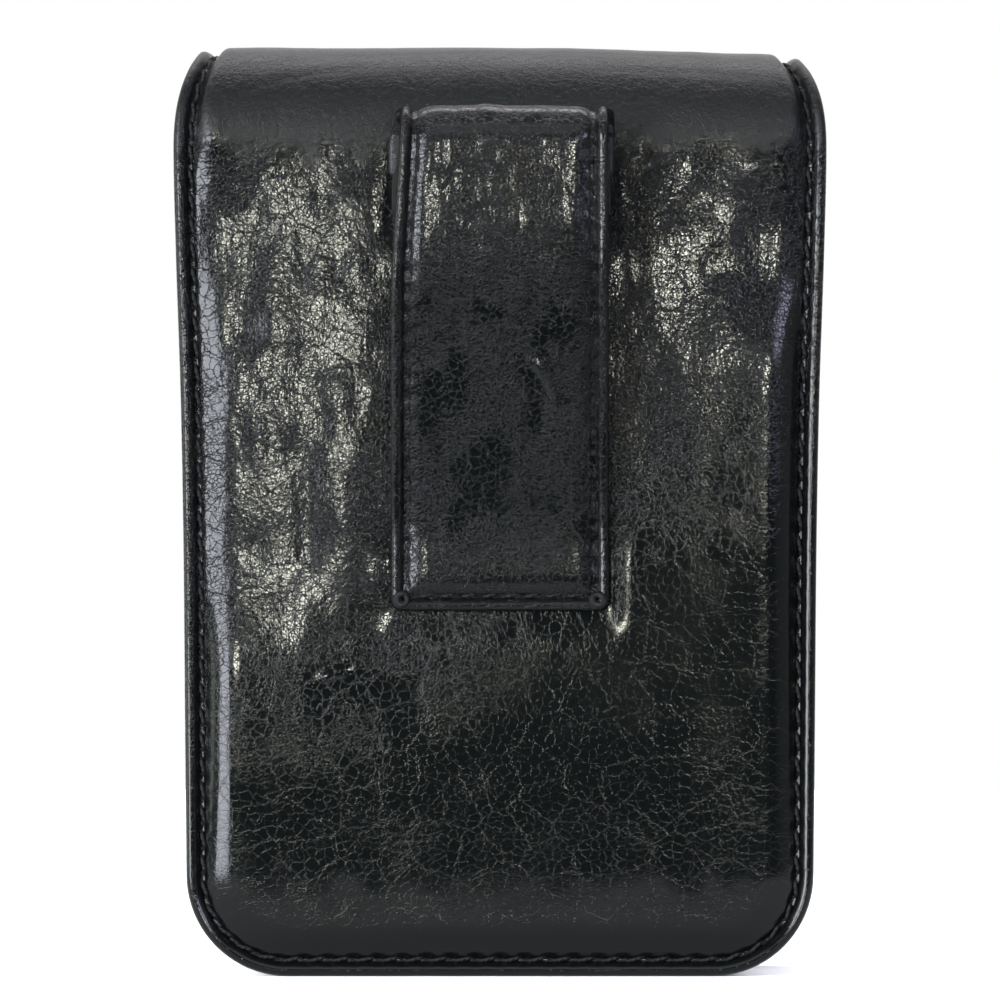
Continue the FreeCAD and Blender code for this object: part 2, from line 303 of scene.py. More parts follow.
@dataclass(frozen=True)
class Outline:
    """The flat pattern of a panel, in mm.

    Args:
        foot: where its lower edge lies along the course.
        end: where its upper edge lies.
        corner: radius of the lower corners.
        widths: half widths at distances along the course.
        top_corner: radius of the upper corners, or None where the upper end is left open.
    """

    foot: float
    end: float
    corner: float
    widths: Knots
    top_corner: float | None = None

    LEAST = 0.4  # an inner corner is never sharper than this, in mm

    def half(self, s: Array) -> Array:
        """Half width at distances along the course."""
        return follow(s, self.widths)

    def _corner(self, inset: Array, top: bool) -> tuple[Array, Array, Array, Array]:
        """A corner of the inset edge.

        Args:
            inset: distance in from the edge.
            top: whether it is an upper corner.

        Returns:
            The centre's x and distance along, the inset edge's radius, and the whole corner's size.
        """
        size = np.maximum(self.top_corner if top else self.corner, inset + self.LEAST)
        s = self.end - size if top else self.foot + size
        return self.half(s) - size, s, size - inset, size

    def side(self, b: Array, inset: Array, share: tuple[float, float]) -> tuple[Array, Array]:
        """The right-hand edge.

        Args:
            b: 0 at the middle of the lower corner, 1 at the top.
            inset: distance in from the edge.
            share: parts of b spent on the lower and the upper corner.

        Returns:
            x and distance along the course.
        """
        low, high = share
        cx, cs, radius, _ = self._corner(inset, False)
        turn = np.radians(45) * (1 - b / low)
        x, s = cx + radius * np.cos(turn), cs - radius * np.sin(turn)
        stop = self._corner(inset, True)[1] if high else np.full_like(s, self.end)
        along = cs + np.clip((b - low) / (1 - low - high), 0, 1) * (stop - cs)
        plain = b >= low
        x, s = np.where(plain, self.half(along) - inset, x), np.where(plain, along, s)
        if high:
            cx, cs, radius, _ = self._corner(inset, True)
            turn = np.radians(45) * (b - (1 - high)) / high
            last = b > 1 - high
            x = np.where(last, cx + radius * np.cos(turn), x)
            s = np.where(last, cs + radius * np.sin(turn), s)
        return x, s

    def level(self, a: Array, inset: Array, share: float, top: bool) -> tuple[Array, Array]:
        """The lower or the upper edge.

        Args:
            a: 0 at the left, 1 at the right.
            inset: distance in from the edge.
            share: part of a spent on each corner.
            top: whether it is the upper edge.

        Returns:
            x and distance along the course.
        """
        if top and self.top_corner is None:
            return (2 * a - 1) * (self.half(np.full_like(a, self.end)) - inset), np.full_like(a, self.end)
        cx, cs, radius, _ = self._corner(inset, top)
        out = np.abs(2 * a - 1)
        bent = out > 1 - 2 * share
        turn = np.radians(90) - np.radians(45) * np.clip((out - (1 - 2 * share)) / (2 * share), 0, 1)
        x = np.where(bent, cx + radius * np.cos(turn), out / (1 - 2 * share) * cx)
        s = np.where(bent, radius * np.sin(turn), radius)
        return np.sign(2 * a - 1) * x, cs + (s if top else -s)

    def inset_of(self, x: Array, s: Array) -> Array:
        """Distance in from the edge, at places on the pattern."""
        reach = self.half(s) - np.abs(x)
        inset = np.minimum(reach, s - self.foot)
        cx, cs, radius, _ = self._corner(np.zeros_like(x), False)
        round_corner = (np.abs(x) > cx) & (s < cs)
        inset = np.where(round_corner, radius - np.hypot(np.abs(x) - cx, s - cs), inset)
        if self.top_corner is not None:
            inset = np.minimum(inset, self.end - s)
        return inset

    def seam_run(self, x: Array, s: Array, inset: float) -> Array:
        """How far along the seam a place is.

        Args:
            x: place across.
            s: distance along the course.
            inset: the seam's distance in from the edge.

        Returns:
            Distance from the middle of the foot.
        """
        straight = float(self.half(np.array([self.foot + self.corner]))[0]) - self.corner
        bend = self.corner - inset
        across = np.abs(x)
        turn = np.arctan2(np.maximum(across - straight, 0), np.maximum(self.foot + self.corner - s, 1e-6))
        run = np.where(across > straight, straight + turn * bend, across)
        up = straight + math.pi / 2 * bend + s - self.foot - self.corner
        return np.where(s >= self.foot + self.corner, up, run)

    def seam_place(self, run: float, inset: float) -> tuple[float, float, float]:
        """Where a distance along the seam lies.

        Args:
            run: distance from the middle of the foot, positive to the right.
            inset: the seam's distance in from the edge.

        Returns:
            x, distance along the course, and the seam's angle from +X.
        """
        straight = float(self.half(np.array([self.foot + self.corner]))[0]) - self.corner
        bend = self.corner - inset
        hand, run = math.copysign(1, run), abs(run)
        if run <= straight:
            return hand * run, self.foot + inset, 0.0
        turn = (run - straight) / bend
        if turn < math.pi / 2:
            x = straight + bend * math.sin(turn)
            return hand * x, self.foot + self.corner - bend * math.cos(turn), hand * turn
        s = self.foot + self.corner + (turn - math.pi / 2) * bend
        ends = self.half(np.array([s, s + 0.5]))
        lean = math.atan2(0.5, float(ends[1] - ends[0]))
        return hand * (float(ends[0]) - inset), s, lean if hand > 0 else math.pi - lean


# ---------------------------------------------------------------- leather worked over a form


@dataclass(frozen=True)
class Edge:
    """The worked edge of a panel, in mm from the edge and from the rim's own level.

    Args:
        margin: how far in the padding is level.
        over: heights of the turned bead, the seam's groove and the foot of the padding.
        insets: the rings of the visible side, from the margin outwards.
        under: the turned-in hem, from the edge back inwards.
        seam: distance of the stitches from the edge.
    """

    margin: float
    over: Knots
    insets: tuple[float, ...]
    under: Knots
    seam: float

    def scaled(self, size: float, margin: float) -> "Edge":
        """The same edge, finer, on a narrower piece.

        Args:
            size: how large its bead, groove and hem are, against this one's.
            margin: how far in the narrower piece's padding is level.

        Returns:
            The finer edge.
        """
        shrink = margin / self.margin
        return Edge(
            margin,
            tuple((d * size, h * size) for d, h in self.over),
            tuple(d * (size if d < 3 else shrink) for d in self.insets),
            tuple((d * size, h * size) for d, h in self.under),
            self.seam * size,
        )


TURNED = Edge(
    margin=9.0,
    over=((0.0, -0.55), (0.1, -0.12), (0.35, 0.26), (0.8, 0.5), (1.3, 0.36), (1.75, -0.06),
          (2.1, -0.5), (2.5, -0.6), (2.85, -0.34), (3.3, 0.0)),
    insets=(8.2, 7.3, 6.5, 5.8, 5.15, 4.6, 4.1, 3.65, 3.3, 3.05, 2.85, 2.65, 2.5, 2.3, 2.1, 1.9, 1.7,
            1.5, 1.25, 1.0, 0.75, 0.5, 0.3, 0.15, 0.05, 0.0),
    under=((0.02, -0.85), (0.2, -1.15), (0.6, -1.35), (1.5, -1.4), (3.3, -1.4)),
    seam=2.45,
)
CUT = Edge(
    margin=3.0,
    over=((0.0, -0.25), (0.15, -0.05), (0.5, 0.0), (1.0, 0.0)),
    insets=(2.0, 1.2, 0.5, 0.2, 0.06, 0.0),
    under=((0.06, -0.45), (0.4, -0.6), (1.2, -0.6)),
    seam=1.5,
)


@dataclass
class Sheet:
    """A panel of leather or cloth worked over a form and laid along a course.

    Args:
        name: the piece's name.
        outline: its flat pattern.
        course: the line its padded face follows.
        edge: how its edge is worked.
        cells: grid cells across and along.
        corner_cells: cells spent on half of a lower corner, and of an upper one.
        thickness: of the leather, in mm.
        rise: height of the padding over the rim, read along the course.
        crown: how far the padding stands over or under the course, from x and distance along.
        brink: how far in the padding is level, read along the course; the edge's margin if None.
        relief: extra height from x, distance along, and inset.
        warp: sideways shift and lift of the whole thickness, from x and distance along.
        pitch: stitch spacing that dents the seam's groove, or 0.
        lay_from: where its flat pattern starts on the hide, and which way it runs.
    """

    name: str
    outline: Outline
    course: Course
    edge: Edge
    cells: tuple[int, int]
    corner_cells: tuple[int, int]
    thickness: float
    rise: Knots
    crown: Callable[[Array, Array], Array] | None = None
    brink: Knots | None = None
    relief: Callable[[Array, Array, Array], Array] | None = None
    warp: Warp | None = None
    pitch: float = 0.0
    lay_from: tuple[float, float] = (0.0, 1.0)

    def height(self, x: Array, s: Array, inset: Array) -> Array:
        """Height of the visible side over the course.

        Args:
            x: places across.
            s: distances along the course.
            inset: distances in from the edge.

        Returns:
            Heights, in mm.
        """
        rise = follow(s, self.rise)
        foot = self.edge.over[-1][0]
        brink = self.edge.margin if self.brink is None else follow(s, self.brink)
        up = np.clip((inset - foot) / (brink - foot), 0, 1)
        full = rise if self.crown is None else rise + self.crown(x, s)
        level = full * (1 - (1 - up) ** 2.4) - rise
        level += follow(inset, self.edge.over)
        if self.pitch:
            run = self.outline.seam_run(x, s, self.edge.seam) / self.pitch
            near = np.exp(-(((inset - self.edge.seam) / (0.35 * self.edge.seam)) ** 2))
            level -= 0.1 * near * np.cos(2 * math.pi * run)
        if self.relief is not None:
            level += self.relief(x, s, inset)
        return level

    def rings(self) -> list[tuple[float, float, bool]]:
        """Each ring from the margin round the edge and back: inset, drop, and whether it is inside."""
        edge = self.edge
        rings = [(inset, 0.0, False) for inset in edge.insets]
        rings += [(inset, drop, True) for inset, drop in edge.under]
        last = edge.under[-1][0]
        for share in (0.25, 0.6, 1.0):
            rings.append((last + share * (edge.margin - last), math.nan, True))
        return rings

    def shell(self) -> tuple[Object, Array, Array]:
        """Make the closed mesh in its own grid space.

        Returns:
            The mesh, and each vertex's place on the grid and ring number.
        """
        columns, rows = self.cells
        closed = self.outline.top_corner is not None
        piece = unit_grid(self.name, columns, rows)
        count = len(self.rings())
        with editing(piece) as mesh:
            for edge in mesh.edges:
                top = all(v.co.y > 1 - 1e-6 for v in edge.verts)
                edge.select_set(edge.is_boundary and (closed or not top))
            for _ in range(count):
                bpy.ops.mesh.extrude_region_move(TRANSFORM_OT_translate={"value": (0, 0, 1)})
        inside = unit_grid(self.name + "_inside", columns, rows)
        write_points(inside, read_points(inside) + np.array([0, 0, count]))
        joined(piece, [inside])
        with editing(piece):
            bpy.ops.mesh.select_all(action="SELECT")
            bpy.ops.mesh.remove_doubles(threshold=1e-5)
            if not closed:
                bpy.ops.mesh.fill_holes(sides=0)
        return piece, read_points(piece)[:, :2], np.rint(read_points(piece)[:, 2]).astype(int)

    def flat_places(self, grid: Array, inset: Array, field_cells: Array) -> tuple[Array, Array]:
        """Lay grid places on the flat pattern.

        Args:
            grid: places from 0 to 1 across and along.
            inset: distance in from the edge.
            field_cells: marks the places inside the margin.

        Returns:
            x and distance along the course.
        """
        columns, rows = self.cells
        low, high = self.corner_cells
        shares = (low / rows, high / rows if self.outline.top_corner is not None else 0.0)
        a, b = grid[:, 0], grid[:, 1]
        right = self.outline.side(b, inset, shares)
        foot = self.outline.level(a, inset, low / columns, False)
        top = self.outline.level(a, inset, max(high, 1) / columns, True)
        zero, one = np.zeros_like(a), np.ones_like(a)
        base = self.outline.side(zero, inset, shares)
        peak = self.outline.side(one, inset, shares)
        x = (1 - b) * foot[0] + b * top[0] + (2 * a - 1) * right[0]
        x -= (2 * a - 1) * ((1 - b) * base[0] + b * peak[0])
        s = (1 - b) * foot[1] + b * top[1] + right[1] - (1 - b) * base[1] - b * peak[1]
        on_side = ((a < 1e-6) | (a > 1 - 1e-6)) & ~field_cells
        x = np.where(on_side, np.sign(a - 0.5) * right[0], x)
        s = np.where(on_side, right[1], s)
        on_foot = (b < 1e-6) & ~field_cells & ~on_side
        x, s = np.where(on_foot, foot[0], x), np.where(on_foot, foot[1], s)
        on_top = (b > 1 - 1e-6) & ~field_cells & ~on_side
        return np.where(on_top, top[0], x), np.where(on_top, top[1], s)

    def build(self) -> Object:
        """Model the panel in place."""
        piece, grid, ring = self.shell()
        rings = [(self.edge.margin, 0.0, False)] + self.rings()
        inset = np.array([r[0] for r in rings])[ring]
        drop = np.array([r[1] for r in rings])[ring]
        inner = np.array([r[2] for r in rings])[ring]
        edge_of_grid = (np.minimum(grid[:, 0], 1 - grid[:, 0]) < 1e-6) | (grid[:, 1] < 1e-6)
        edge_of_grid |= grid[:, 1] > 1 - 1e-6
        field_cells = ~edge_of_grid
        x, s = self.flat_places(grid, inset, field_cells)
        depth = np.where(field_cells, np.maximum(self.outline.inset_of(x, s), self.edge.margin), inset)
        over = self.height(x, s, depth)
        rim = -follow(s, self.rise)
        skin = np.isnan(drop)
        if self.relief is not None:
            rim = rim + self.relief(x, s, depth)
        under = np.where(skin, over - self.thickness, rim + np.nan_to_num(drop))
        height = np.where(inner, under, over)
        write_points(piece, self.stand(x, s, height))
        origin, way = self.lay_from
        write_lay(piece, np.stack([x, origin + way * s, depth * TURNED.seam / self.edge.seam], axis=1))
        face_outwards(piece)
        return piece

    def stand(self, x: Array, s: Array, height: Array) -> Array:
        """Places in metres from places on the pattern and heights over the course."""
        y, z, out_y, out_z = self.course.at(s)
        if self.warp is not None:
            shift, lift = self.warp(x, s)
            x, height = x + shift, height + lift
        return np.stack([x, y + out_y * height, z + out_z * height], axis=1) * MM

    def declare(self) -> None:
        """Work out the half widths the sheet was cut to, in metres; nothing is done with them."""
        s = np.linspace(self.outline.foot, self.outline.end, 200)
        half = self.outline.half(s) * MM

    def surface(self, x: float, s: float, lift: float) -> tuple[Vector, Vector, Vector, Vector]:
        """A place on the panel with its directions.

        Args:
            x: place across, in mm.
            s: distance along the course.
            lift: extra height over the visible side.

        Returns:
            The place in metres, the direction across, along, and out.
        """
        xs, ss = np.array([x]), np.array([s])
        inset = self.outline.inset_of(xs, ss)
        place = Vector(self.stand(xs, ss, self.height(xs, ss, inset) + lift)[0])
        _, _, out_y, out_z = (float(v[0]) for v in self.course.at(ss))
        out = Vector((0, out_y, out_z))
        along = Vector((0, out_z, -out_y)) * self.course.face.value
        return place, Vector((1, 0, 0)), along, out


# ---------------------------------------------------------------- thread


@dataclass(frozen=True)
class Thread:
    """Waxed thread and how it is sewn, in mm.

    Args:
        pitch: distance from stitch to stitch.
        length: of the part that shows.
        radius: of the thread.
        slant: degrees that each stitch leans from the seam.
        dive: how far its ends sink into the leather.
    """

    pitch: float = 3.5
    length: float = 2.9
    radius: float = 0.3
    slant: float = 7.0
    dive: float = 0.38

    def stitch(self) -> Object:
        """Model one stitch along X, its top at the origin's height."""
        bpy.ops.object.select_all(action="DESELECT")
        bpy.ops.mesh.primitive_cylinder_add(
            vertices=8, radius=self.radius, depth=self.length, end_fill_type="NGON",
            rotation=(0, math.pi / 2, 0),
        )
        piece = bpy.context.object
        bpy.ops.object.transform_apply(rotation=True)
        with editing(piece) as mesh:
            for edge in mesh.edges:
                edge.select_set(abs(edge.verts[0].co.x - edge.verts[1].co.x) > self.length / 2)
            bpy.ops.mesh.subdivide(number_cuts=6)
        points = read_points(piece)
        turn = np.arctan2(points[:, 2], points[:, 1])
        share = points[:, 0] / (self.length / 2)
        write_lay(piece, np.stack([points[:, 0], turn, share], axis=1))
        slim = 1 - 0.45 * np.abs(share) ** 4
        points[:, 1:] *= slim[:, None]
        points[:, 2] -= self.dive * np.abs(share) ** 3
        points[:, 1] += 0.25 * self.radius * np.sin(share * math.pi)
        write_points(piece, points * MM)
        bpy.ops.object.shade_smooth()
        return piece

    def sew(self, name: str, places: Sequence[tuple[Vector, Vector, Vector]]) -> Object:
        """Copy the stitch along a seam.

        Args:
            name: the seam's name.
            places: for each stitch its place, its direction and the way out of the leather.

        Returns:
            The whole seam as one piece.
        """
        model = self.stitch()
        copies = []
        for number, (place, along, out) in enumerate(places):
            copy = model.copy()
            copy.data = model.data.copy()
            bpy.context.scene.collection.objects.link(copy)
            across = out.cross(along).normalized()
            turn = Matrix((along.normalized(), across, out)).transposed().to_4x4()
            uneven = math.sin(number * 2.4) * 1.5
            lean = Matrix.Rotation(math.radians(self.slant + uneven), 4, "Z")
            copy.data.transform(Matrix.Translation(place) @ turn @ lean)
            copies.append(copy)
        piece = joined(copies[0], copies[1:])
        piece.name = piece.data.name = name
        bpy.data.objects.remove(model)
        return piece

    def round_edge(self, sheet: Sheet, stop: float) -> list[tuple[Vector, Vector, Vector]]:
        """Places for stitches round a panel's sides and foot.

        Args:
            sheet: the panel; its corners have to be rounder than its seam is far in.
            stop: distance along the course where the seam ends.

        Returns:
            Each stitch's place, direction, and way out of the leather.
        """
        seam = sheet.edge.seam
        total = float(sheet.outline.seam_run(np.array([1e3]), np.array([stop]), seam)[0])
        places = []
        for number in range(int(total / self.pitch)):
            for hand in (-1, 1):
                run = hand * (number + 0.5) * self.pitch
                x, s, angle = sheet.outline.seam_place(run, seam)
                place, across, along, out = sheet.surface(x, s, 0.4 * self.radius)
                way = across * math.cos(angle) + along * math.sin(angle)
                places.append((place, way, out))
        return places

    def across(self, sheet: Sheet, s: float, reach: float, lift: float = 0.0) -> list[tuple[Vector, Vector, Vector]]:
        """Places for a straight row across a panel.

        Args:
            sheet: the panel.
            s: the row's distance along the course.
            reach: half the row's length.
            lift: extra height over the leather.

        Returns:
            Each stitch's place, direction, and way out of the leather.
        """
        count = int(2 * reach / self.pitch)
        places = []
        for number in range(count + 1):
            x = (number - count / 2) * self.pitch
            place, way, _, out = sheet.surface(x, s, 0.4 * self.radius + lift)
            places.append((place, way, out))
        return places


# ---------------------------------------------------------------- finishes


def add(tree: bpy.types.NodeTree, kind: str, inputs: dict | None = None, **settings: object) -> bpy.types.Node:
    """Add a node with its settings and links.

    Args:
        tree: where it goes.
        kind: the node's type.
        inputs: values or output sockets, by input name or number.
        settings: properties of the node.

    Returns:
        The new node.
    """
    node = tree.nodes.new(kind)
    for name, value in settings.items():
        setattr(node, name, value)
    for key, value in (inputs or {}).items():
        socket = node.inputs[key]
        if isinstance(value, bpy.types.NodeSocket):
            tree.links.new(value, socket)
        else:
            socket.default_value = value
    return node


def blank(name: str) -> tuple[Material, bpy.types.NodeTree, bpy.types.Node]:
    """A new material, its tree and its shader."""
    material = bpy.data.materials.new(name)
    material.use_nodes = True
    tree = material.node_tree
    return material, tree, tree.nodes["Principled BSDF"]


def finish(tree: bpy.types.NodeTree, shader: bpy.types.Node, **sockets: object) -> None:
    """Set or link a shader's sockets; an underscore in a name stands for a space."""
    for name, value in sockets.items():
        socket = shader.inputs[name.replace("_", " ")]
        if isinstance(value, bpy.types.NodeSocket):
            tree.links.new(value, socket)
        else:
            socket.default_value = value


def blend_of(tree: bpy.types.NodeTree, share: bpy.types.NodeSocket, first: tuple,
             second: tuple) -> bpy.types.NodeSocket:
    """Mix two colours."""
    return add(tree, "ShaderNodeMix", {"Factor": share, "A": first, "B": second}, data_type="RGBA").outputs["Result"]


def bumped(tree: bpy.types.NodeTree, height: bpy.types.NodeSocket, strength: float = 1.0,
           distance: float = MM) -> bpy.types.NodeSocket:
    """Turn a height into a relief."""
    return add(tree, "ShaderNodeBump", {"Height": height, "Strength": strength,
                                        "Distance": distance}).outputs["Normal"]


def spread(tree: bpy.types.NodeTree, value: bpy.types.NodeSocket, low: tuple[float, float],
           high: tuple[float, float]) -> bpy.types.NodeSocket:
    """Remap a value smoothly.

    Args:
        tree: where the node goes.
        value: what is remapped.
        low: the input's lower end and what it gives.
        high: the input's upper end and what it gives.

    Returns:
        The remapped value.
    """
    node = add(tree, "ShaderNodeMapRange", {
        "Value": value, "From Min": low[0], "From Max": high[0], "To Min": low[1], "To Max": high[1],
    }, interpolation_type="SMOOTHSTEP")
    return node.outputs["Result"]


def maths(tree: bpy.types.NodeTree, operation: str, first: object, second: object = 0.0,
          third: object = 0.0) -> bpy.types.NodeSocket:
    """One step of arithmetic."""
    node = add(tree, "ShaderNodeMath", {0: first, 1: second, 2: third}, operation=operation)
    return node.outputs[0]


@dataclass(frozen=True)
class GlazedHide:
    """Chrome-tanned cowhide, dyed black and glazed with a hard clear finish that has crazed with age.

    The glaze mirrors lights in small broken plates; between them run fine dull cracks, a shade darker in colour. Long
    pulls follow the wear, down the pouch, and the bent parts are stretched smoother. The seam's groove is darkened in
    colour too, as painted shade.

    Args:
        name: the material's name.
        colour: of the dyed grain.
        crack_tone_and_groove_shade: darker colour of the cracks' dull floors, also used as painted shade in the seam's
            groove.
        plate: width of the glaze's plates, in mm.
        grain: depth of the plates' relief, in mm.
        gloss: roughness of the glaze.
        pull: strength of the long pulls.
        bend: where the leather is stretched over a bend, from and to along the hide, in mm.
    """

    name: str = "glazed_hide"
    colour: str = "#040505"
    # darker colour of the cracks, and painted shade in the seam's groove
    crack_tone_and_groove_shade: str = "#030303"
    plate: float = 1.35
    relief: float = 0.07
    gloss: float = 0.09
    pull: float = 0.016
    bend: tuple[float, float] = (118.0, 400.0)

    def make(self) -> Material:
        """Build the material."""
        material, tree, shader = blank(self.name)
        lay = add(tree, "ShaderNodeAttribute", attribute_name="lay").outputs["Vector"]
        parts = add(tree, "ShaderNodeSeparateXYZ", {0: lay})
        drift = add(tree, "ShaderNodeTexNoise", {"Vector": lay, "Scale": 0.8, "Detail": 3.0, "Roughness": 0.65})
        pushed = add(tree, "ShaderNodeVectorMath", {0: drift.outputs["Color"], "Scale": 1.5}, operation="SCALE")
        warped = add(tree, "ShaderNodeVectorMath", {0: lay, 1: pushed.outputs[0]}, operation="ADD").outputs[0]
        nets = []
        for size, width in ((self.plate, 0.055), (0.4 * self.plate, 0.13), (4.0 * self.plate, 0.02)):
            cells = add(tree, "ShaderNodeTexVoronoi", {"Vector": warped, "Scale": 1 / size},
                        feature="DISTANCE_TO_EDGE", voronoi_dimensions="2D")
            nets.append(spread(tree, cells.outputs["Distance"], (0.0, 1.0), (width, 0.0)))
        crack, chip, fold = nets
        patch = add(tree, "ShaderNodeTexNoise", {"Vector": lay, "Scale": 0.11, "Detail": 2.0})
        worn = spread(tree, patch.outputs["Fac"], (0.38, 0.15), (0.62, 1.0))
        pebble = add(tree, "ShaderNodeTexNoise", {"Vector": lay, "Scale": 0.8, "Detail": 2.5, "Roughness": 0.5})
        stretch = add(tree, "ShaderNodeMapping", {"Vector": lay, "Scale": (1.6, 0.3, 1.0)})
        pulls = add(tree, "ShaderNodeTexNoise", {"Vector": stretch.outputs[0], "Scale": 1.0, "Detail": 2.0})
        ragged = maths(tree, "MULTIPLY_ADD", add(tree, "ShaderNodeTexNoise", {
            "Vector": lay, "Scale": 0.16, "Detail": 3.0, "Roughness": 0.6}).outputs["Fac"], 16.0, parts.outputs["Y"])
        bent = spread(tree, ragged, (self.bend[0] + 6, 0.0), (self.bend[0] + 11, 1.0))
        past = spread(tree, parts.outputs["Y"], (self.bend[1], 0.0), (self.bend[1] + 9, 1.0))
        bent = maths(tree, "SUBTRACT", bent, past)
        share = maths(tree, "MULTIPLY_ADD", bent, -0.75, 1.0)
        squeezed = add(tree, "ShaderNodeMapping", {"Vector": warped, "Scale": (0.22, 1.7, 1.0)})
        wrinkles = add(tree, "ShaderNodeTexNoise", {"Vector": squeezed.outputs[0], "Scale": 1.0, "Detail": 4.0,
                                                    "Roughness": 0.7})
        fine = add(tree, "ShaderNodeTexNoise", {"Vector": lay, "Scale": 2.6, "Detail": 2.0})
        aside = maths(tree, "MULTIPLY_ADD", maths(tree, "MAXIMUM", parts.outputs["X"], -18.0), -0.6,
                      maths(tree, "SUBTRACT", parts.outputs["Y"], 10.8))
        worked = spread(tree, aside, (24.0, 0.1), (68.0, 1.0))
        height = maths(tree, "MULTIPLY", crack, -0.6 * self.relief)
        height = maths(tree, "MULTIPLY_ADD", maths(tree, "MULTIPLY", chip, worn), -0.4 * self.relief, height)
        height = maths(tree, "MULTIPLY_ADD", fold, -1.0 * self.relief, height)
        height = maths(tree, "MULTIPLY_ADD", pebble.outputs["Fac"], 0.7 * self.relief, height)
        height = maths(tree, "MULTIPLY_ADD", pulls.outputs["Fac"], self.pull, height)
        height = maths(tree, "MULTIPLY_ADD", fine.outputs["Fac"], 0.22 * self.relief, height)
        height = maths(tree, "MULTIPLY", height, maths(tree, "MULTIPLY", share, worked))
        height = maths(tree, "MULTIPLY_ADD", maths(tree, "MULTIPLY", wrinkles.outputs["Fac"], bent),
                       2.0 * self.relief, height)
        grain = add(tree, "ShaderNodeTexNoise", {"Vector": lay, "Scale": 3.6, "Detail": 2.0})
        height = maths(tree, "MULTIPLY_ADD", maths(tree, "MULTIPLY", grain.outputs["Fac"], bent),
                       0.5 * self.relief, height)
        crack_lines_and_groove_shade = maths(tree, "MAXIMUM", crack, maths(tree, "MAXIMUM", fold, maths(tree, "MULTIPLY", chip, 0.6)))
        crack_lines_and_groove_shade = maths(tree, "MULTIPLY", crack_lines_and_groove_shade, maths(tree, "MULTIPLY", share, worked))
        # The seam's groove joins the dark mask: painted shade, a darker base colour along the groove.
        off_seam = maths(tree, "ABSOLUTE", maths(tree, "SUBTRACT", parts.outputs["Z"], TURNED.seam))
        crack_lines_and_groove_shade = maths(tree, "MAXIMUM", crack_lines_and_groove_shade, spread(tree, off_seam, (0.3, 1.0), (0.75, 0.0)))
        dull = maths(tree, "MULTIPLY_ADD", crack_lines_and_groove_shade, 0.04, self.gloss)
        dull = maths(tree, "MULTIPLY_ADD", patch.outputs["Fac"], 0.06, dull)
        dull = maths(tree, "MULTIPLY_ADD", bent, 0.2, dull)
        # Base colour: a shade darker along the crack lines, and painted shade in the seam's groove.
        finish(tree, shader, Base_Color=blend_of(tree, crack_lines_and_groove_shade, linear(self.colour), linear(self.crack_tone_and_groove_shade)),
               Roughness=maths(tree, "SUBTRACT", dull, 0.03), Normal=bumped(tree, height), IOR=1.5,
               Specular_IOR_Level=0.12)
        return material


@dataclass(frozen=True)
class WaxedThread:
    """Bonded polyester thread, twisted from two plies and waxed: a soft sheen over a rope-like twist.

    Args:
        colour: of the thread.
        twist: length of one turn, in mm.
    """

    colour: str = "#050606"
    twist: float = 0.8

    def make(self) -> Material:
        """Build the material."""
        material, tree, shader = blank("waxed_thread")
        lay = add(tree, "ShaderNodeAttribute", attribute_name="lay").outputs["Vector"]
        parts = add(tree, "ShaderNodeSeparateXYZ", {0: lay})
        turn = maths(tree, "MULTIPLY_ADD", parts.outputs["X"], 2 * math.pi / self.twist, parts.outputs["Y"])
        ply = maths(tree, "SINE", turn)
        tone = blend_of(tree, spread(tree, ply, (-1.0, 0.0), (1.0, 1.0)), linear("#060607"), linear(self.colour))
        finish(tree, shader, Base_Color=tone, Normal=bumped(tree, maths(tree, "MULTIPLY", ply, 0.05)),
               Roughness=0.65, Specular_IOR_Level=0.12)
        return material


@dataclass(frozen=True)
class NappedCloth:
    """Brushed nylon lining: a short upright nap that looks darker straight on and lighter at a slant.

    Args:
        name: the material's name.
        colour: of the nap.
    """

    name: str
    colour: str

    def make(self) -> Material:
        """Build the material."""
        material, tree, shader = blank(self.name)
        place = add(tree, "ShaderNodeTexCoord").outputs["Object"]
        nap = add(tree, "ShaderNodeTexNoise", {"Vector": place, "Scale": 1 / (0.35 * MM), "Detail": 2.0})
        brushed = add(tree, "ShaderNodeTexNoise", {"Vector": place, "Scale": 1 / (9 * MM), "Detail": 3.0})
        base = linear(self.colour)
        light = tuple(min(1.0, 1.7 * c) for c in base[:3]) + (1.0,)
        tone = blend_of(tree, maths(tree, "MULTIPLY", nap.outputs["Fac"], brushed.outputs["Fac"]), base, light)
        finish(tree, shader, Base_Color=tone, Normal=bumped(tree, nap.outputs["Fac"], 0.8, 0.15 * MM),
               Roughness=0.95, Sheen_Weight=0.5, Sheen_Roughness=0.4)
        return material


@dataclass(frozen=True)
class PlainStuff:
    """Stuff that stays inside: foam with open cells, or pressed fibreboard with short fibres.

    Args:
        name: the material's name.
        colour: its middle colour.
        grain: size of its cells or fibres, in mm.
        stretch: how much longer the grain is one way.
    """

    name: str
    colour: str
    grain: float
    stretch: float = 1.0

    def make(self) -> Material:
        """Build the material."""
        material, tree, shader = blank(self.name)
        place = add(tree, "ShaderNodeTexCoord").outputs["Object"]
        laid = add(tree, "ShaderNodeMapping", {"Vector": place, "Scale": (1.0, 1.0, 1 / self.stretch)})
        cells = add(tree, "ShaderNodeTexNoise", {
            "Vector": laid.outputs[0], "Scale": 1 / (self.grain * MM), "Detail": 4.0})
        base = linear(self.colour)
        dark = tuple(0.6 * c for c in base[:3]) + (1.0,)
        finish(tree, shader, Base_Color=blend_of(tree, cells.outputs["Fac"], dark, base), Roughness=0.9,
               Normal=bumped(tree, cells.outputs["Fac"], 0.5, 0.3 * self.grain * MM))
        return material


